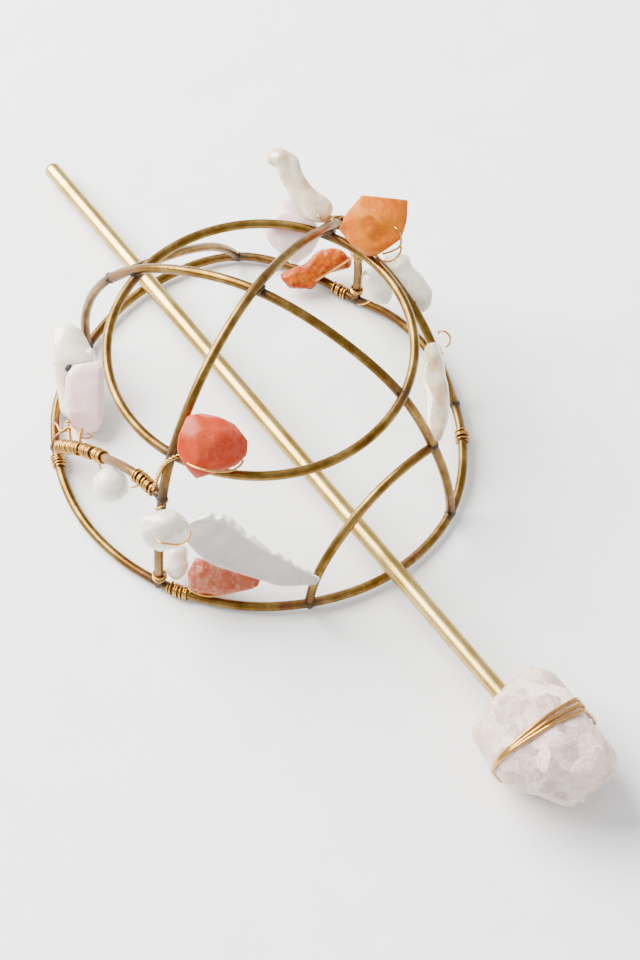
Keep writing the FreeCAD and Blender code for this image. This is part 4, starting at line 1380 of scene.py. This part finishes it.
@dataclass
class Threads:
    """Free hooks, stems and ends of the thin wire, placed where the photograph shows them."""

    wire: float = 0.4
    spacing: float = 0.12
    lay: float = 1.5
    strands: tuple = (
        # label, what it hangs by, spots of the picture with how far each stands in front of that
        ("hook_peach", "peach_stone", (
            (393, 227, 2.5), (398, 230, 3.2), (401, 238, 2.6), (400, 246, 1.8), (392, 251, 1.0),
            (382, 254, 0.2))),
        ("hook_peach_low", "peach_stone", (
            (401, 246, 1.8), (399, 255, 1.0), (391, 261, 0.3), (382, 261, -0.8), (376, 257, -2.0))),
        ("tie_carnelian", "carnelian_chip", (
            (353, 257, 10.2), (341, 265, 7.0), (327, 274, 4.2), (315, 281, 2.2))),
        ("hook_moonstone_inner", "moonstone_inner", (
            (357, 304, -4.6), (363, 304, -3.0), (371, 300, -0.6), (378, 294, 1.4))),
        ("hook_front_moonstone", "front_moonstone", (
            (157, 538, 2.4), (160, 542, 3.0), (169, 544, 3.2), (180, 544, 3.2), (187, 540, 3.0),
            (190, 532, 2.2))),
        ("loop_coral", "coral_stone", (
            (181, 456, 0.6), (187, 463, 2.6), (196, 467.5, 3.6), (208, 470.5, 4.2), (221, 471.5, 4.2),
            (233, 470, 3.6), (239.5, 466, 3.0), (243, 460, 1.6))),
        ("tie_low_coral", "low_coral_stone", (
            (188, 588, 0.6), (196, 593, 1.2), (208, 596, 1.4), (224, 594, 1.0), (241, 589, 0.4),
            (256, 584, 0.0))),
        ("hook_long_pearl", "long_pearl", (
            (438, 334, 1.0), (443, 331, 2.0), (449, 335, 2.0), (450, 342, 1.2), (446, 347, 0.0))),
        ("tie_stick_pearl", "stick_pearl", (
            (318, 214, 2.0), (321, 219, 2.4), (326, 222, 2.0), (332, 217, 0.6), (337, 216, -1.0))),
        ("tie_left_cross", "rose_stone_left", (
            (52, 421, 1.0), (57, 425, 2.6), (61, 431, 3.6), (70, 427, 4.4), (77, 433, 5.6),
            (84, 438, 6.4), (91, 432, 4.2))),
        ("tie_left_low", "rose_stone_left", (
            (52, 446, 2.6), (56, 436, 3.0), (64, 431, 3.6), (71, 430, 4.2))),
        ("end_left", "rose_stone_left", (
            (97, 457, 21.0), (99, 461, 20.6), (100, 466, 20.2), (101, 470, 20.0))),
        ("end_spur_top", "moonstone_bead", (
            (138, 485, 8.4), (134, 487, 7.9), (130, 487, 7.4))),
        ("end_arch_foot", "front_moonstone", (
            (155, 509, 0.6), (159, 508, 1.4), (164, 505, 1.0))),
    )
    twists: tuple = (
        ("stem_left_outer", "rose_stone_left", (
            (71, 446, 9.6), (70, 438, 6.4), (69, 429, 3.8), (68, 420, 2.4))),
        ("stem_left_inner", "rose_stone_left", (
            (80, 448, 13.6), (80, 441, 9.6), (81, 435, 6.0), (82, 430, 3.0))),
        ("stem_arch", "front_moonstone", (
            (153, 490, 0.2), (156, 481, 2.0), (160.5, 470, 4.6), (166, 462, 7.0), (173, 458, 7.9),
            (181, 455.5, 7.6))),
    )

    def middle_of(self, label: str) -> np.ndarray:
        """Middle of a stone."""
        return np.array(next(gem.middle for gem in STONES if gem.label == label))

    def thread(self, label: str, spots: tuple, stone: str) -> None:
        """A single strand.

        Args:
            label: the piece's name.
            spots: where the picture shows it.
            stone: what its depth is counted from.
        """
        line = smooth_line(SIGHT.place(list(spots), self.middle_of(stone)), steps=10)
        flat = np.linalg.svd(line - line.mean(axis=0), full_matrices=False)[2][-1]
        shell = Shell()
        shell.add(thread_grid(line, self.wire / 2, flat, THREAD_FACES))
        shell.piece(label, GoldWire(), "cage", "gold_wire")

    def twist(self, label: str, spots: tuple, stone: str) -> None:
        """Two strands twisted together: each winds half a wire off the middle line.

        Args:
            label: the piece's name.
            spots: where the picture shows it.
            stone: what its depth is counted from.
        """
        core = Course(smooth_line(SIGHT.place(list(spots), self.middle_of(stone)), steps=12))
        where = np.linspace(0, core.length, int(core.length / self.spacing))
        hint = np.cross(core.heading(where), SIGHT.axes()[2])
        out = core.outward(where, hint, where / self.lay * TURN)
        shell = Shell()
        for sign in (1, -1):
            line = core.at(where) + out * (sign * self.wire / 2)
            shell.add(thread_grid(line, self.wire / 2, out, THREAD_FACES))
        shell.piece(label, GoldWire(), "cage", "gold_wire")

    def build(self) -> None:
        """Makes the single strands, then the twisted pairs."""
        for label, stone, spots in self.strands:
            self.thread(label, spots, stone)
        for label, stone, spots in self.twists:
            self.twist(label, spots, stone)


# --------------------------------------------------------------------------- the stick

@dataclass
class Stick:
    """The rod with its raw rose quartz and the wire round it."""

    tip: tuple = (-75.0, 0.0, 2.6)
    slope: float = 2.55
    length: float = 152.0
    diameter: float = 3.2
    wrap_wire: float = 0.6
    quartz: tuple = (
        # station along the stick, middle across, middle up, half width, half height
        (71.4, 1.6, 9.4, 5.4, 4.8), (74.8, -0.4, 8.6, 9.4, 8.6), (79.5, -0.6, 9.6, 9.8, 9.1),
        (85.5, -0.6, 10.1, 10.0, 8.7), (91.0, 1.0, 9.5, 8.6, 8.1), (94.6, 2.4, 9.0, 5.6, 6.0))
    quartz_slack: tuple = (1.05, 1.05, 1.0)
    quartz_outline: tuple = (
        (540, 664), (553, 674), (607, 740), (617, 753), (617, 764), (605, 783), (577, 806), (548, 801),
        (509, 787), (492, 768), (470, 734), (476, 714), (505, 686), (527, 666))
    heart: tuple = (83.0, -0.2, 9.6)
    turns: tuple = (
        # label, where its plane crosses the stick, that plane's normal
        ("quartz_wrap_inner", 82.6, (1.0, 0.03, -0.02)), ("quartz_wrap_middle", 83.2, (1.0, -0.03, -0.05)),
        ("quartz_wrap_outer", 83.9, (1.0, -0.10, -0.06)))
    turn_height: float = 9.5
    rod_faces: int = 40
    wrap_faces: int = 10
    nose: float = 1.5
    nose_drop: float = 1.3
    quartz_ends: tuple = (0.15, 0.1)
    quartz_steps: int = 14
    quartz_fine: tuple = (230, 220)
    quartz_power: float = 0.8
    quartz_relief: tuple = ((9.0, 0.03), (2.6, 0.006))
    outline_edge: float = 60.0
    lowest: float = 0.02

    def rod(self) -> None:
        """The rod: a straight tube whose tip narrows as a quarter circle over its nose."""
        slope = math.radians(self.slope)
        way = np.array([math.cos(slope), 0.0, math.sin(slope)])
        tip = self.nose * (1 - np.cos(np.linspace(0.06, math.pi / 2, 10)))
        where = np.concatenate([tip, np.arange(self.nose + 0.5, self.length, 1.0), [self.length]])
        depth = np.clip(where / self.nose, 0, 1)
        radius = self.diameter / 2 - self.nose_drop * (1 - np.sqrt(1 - (1 - depth) ** 2))
        line = np.array(self.tip) + way * where[:, None]
        shell = Shell()
        shell.add(tube_grid(line, radius, UP, self.rod_faces))
        piece = shell.piece("rod_surface", SatinBrass(), "stick", "rod_brass")
        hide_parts("stick_rod")

    def quartz_grid(self) -> np.ndarray:
        """Loft of squarish ovals along the stick: (station, across + wide c, up + high s).

        Returns:
            Array of rows, columns, 3, in millimetres.
        """
        given = np.array(self.quartz, float)
        nose = np.concatenate([given[0, :3] - (self.quartz_ends[0], 0.0, 0.0), [0.0, 0.0]])
        tail = np.concatenate([given[-1, :3] + (self.quartz_ends[1], 0.0, 0.0), [0.0, 0.0]])
        mirror = np.array([1.0, 1.0, 1.0, -1.0, -1.0])
        rows = np.vstack([given[0] * mirror, nose, given, tail, given[-1] * mirror])
        whole = smooth_line(rows, steps=self.quartz_steps)[self.quartz_steps:-self.quartz_steps]
        along = distances(whole)
        where = np.linspace(0, along[-1], self.quartz_fine[0])[1:-1]
        station, across, up, wide, high = at_stations(whole, along, where).T[..., None]
        cosine, sine = squarish(self.quartz_fine[1], self.quartz_power)
        return np.stack([station + 0 * cosine, across + np.maximum(wide, THINNEST) * cosine,
                         up + np.maximum(high, THINNEST) * sine], axis=-1)

    def quartz_surface(self) -> np.ndarray:
        """Cuts the loft about its heart, trims it to its outline in the picture and breaks its skin.

        Returns:
            Array of rows, columns, 3, in millimetres.
        """
        rough = Gem("rose_quartz", self.heart, (1, 0, 0), (), Dress.QUARTZ, "rose_quartz", cuts=16,
                    cut_depth=(0.86, 0.98), cut_edge=40, seed=21)
        flakes = Gem("flakes", self.heart, (1, 0, 0), (), Dress.QUARTZ, "rose_quartz", cuts=110,
                     cut_depth=(0.94, 0.99), cut_edge=110, seed=22)
        heart = np.array(self.heart)
        own = rough.cut((self.quartz_grid() - heart) * np.array(self.quartz_slack))
        own = flakes.cut(within(own, *SIGHT.silhouette(self.quartz_outline, heart), self.outline_edge))
        for number, (wavelength, height) in enumerate(self.quartz_relief):
            own = own * (1 + height * ripple(own, wavelength, 70 + number))[..., None]
        placed = own + heart
        placed[..., 2] = np.maximum(placed[..., 2], self.lowest)
        return placed

    def string_round(self, surface: np.ndarray, crossing: float, normal: tuple) -> np.ndarray:
        """A tight string round the quartz's section.

        With h(b) the reach of the section in direction b, the string's radius in direction a is
        the least of h(b) / cos(a - b).

        Args:
            surface: points of the quartz.
            crossing: where the string's plane crosses the stick.
            normal: the plane's normal.

        Returns:
            A closed line of points.
        """
        normal = unit(np.array(normal, float))
        middle = np.array([crossing, 0.0, self.turn_height])
        near = surface[np.abs((surface - middle) @ normal) < 0.35] - middle
        first = unit(np.cross(normal, UP))
        second = np.cross(normal, first)
        angle = np.linspace(0, TURN, 96, endpoint=False)
        ways = first * np.cos(angle)[:, None] + second * np.sin(angle)[:, None]
        reach = (near @ ways.T).max(axis=0) + self.wrap_wire / 2
        bend = np.cos(angle[:, None] - angle[None])
        radius = np.where(bend > 0.3, reach[None] / np.maximum(bend, 0.3), np.inf).min(axis=1)
        line = middle + ways * radius[:, None]
        line[:, 2] = np.maximum(line[:, 2], self.wrap_wire / 2)
        return line

    def build(self) -> None:
        """Makes the rod, the quartz and its three turns of wire."""
        self.rod()
        shell = Shell()
        surface = self.quartz_surface()
        shell.add(surface)
        piece = shell.piece("quartz_surface", Dress.QUARTZ.value, "stick", "rose_quartz")
        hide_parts("rose_quartz")
        flat = surface.reshape(-1, 3)
        for label, crossing, normal in self.turns:
            ring = Course(self.string_round(flat, crossing, normal), closed=True)
            where = np.linspace(0, ring.length, 220, endpoint=False)
            heading = ring.heading(where)
            side = squared(np.array(normal), heading)
            other = np.cross(heading, side)
            shell = Shell()
            rings = ring_grid(ring.at(where), self.wrap_wire / 2, side, other, self.wrap_faces)
            shell.add(rings, closed=True)
            piece = shell.piece(f"{label}_thread", GoldWire(), "stick", "gold_wire")
            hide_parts(label)


# --------------------------------------------------------------------------- the studio

@dataclass(frozen=True)
class Studio:
    """Pale floor, a broad soft light from the left, aimed at the origin, and an even surround."""

    floor_half: float = 0.9
    surround: float = 1.15
    key_power: float = 51.0
    key_size: float = 0.9
    key_place: tuple = (-0.62, -0.28, 0.60)
    key_tint: tuple = (1.0, 0.985, 0.96)
    sky: tuple = (0.97, 0.99, 1.0)
    floor_level: float = -0.02

    def build(self) -> None:
        """Makes the floor, the light and the surround."""
        half, level = self.floor_half / MM, self.floor_level
        mesh = bpy.data.meshes.new("floor")
        corners = np.array([(-half, -half, level), (half, -half, level),
                            (half, half, level), (-half, half, level)])
        mesh.from_pydata((corners * MM).tolist(), [], [(0, 1, 2, 3)])
        mesh.materials.append(PaleGround().material())
        floor = bpy.data.objects.new("floor", mesh)
        bpy.context.scene.collection.objects.link(floor)
        world = bpy.data.worlds.new("surround")
        world.use_nodes = True
        background = world.node_tree.nodes["Background"]
        background.inputs["Color"].default_value = (*self.sky, 1.0)
        background.inputs["Strength"].default_value = self.surround
        bpy.context.scene.world = world
        lamp = bpy.data.lights.new("key", "AREA")
        lamp.energy, lamp.size, lamp.shape = self.key_power, self.key_size, "DISK"
        lamp.color = self.key_tint
        thing = bpy.data.objects.new("key", lamp)
        toward = unit(np.array(self.key_place))
        right = unit(np.cross(UP, toward))
        thing.matrix_world = Matrix(np.vstack([np.column_stack(
            [right, np.cross(toward, right), toward, np.array(self.key_place)]), [0, 0, 0, 1]]).tolist())
        bpy.context.scene.collection.objects.link(thing)


def main() -> None:
    """Builds the bun cage, its stick and the studio."""
    logging.basicConfig(level=logging.INFO, format="%(message)s")
    cage = CageFrame()
    cage.build()
    for gem in STONES:
        gem.build()
    Bindings(cage).build()
    Threads().build()
    Stick().build()
    Studio().build()
    SIGHT.camera()


if __name__ == "__main__":
    main()
    bpy.context.view_layer.update()
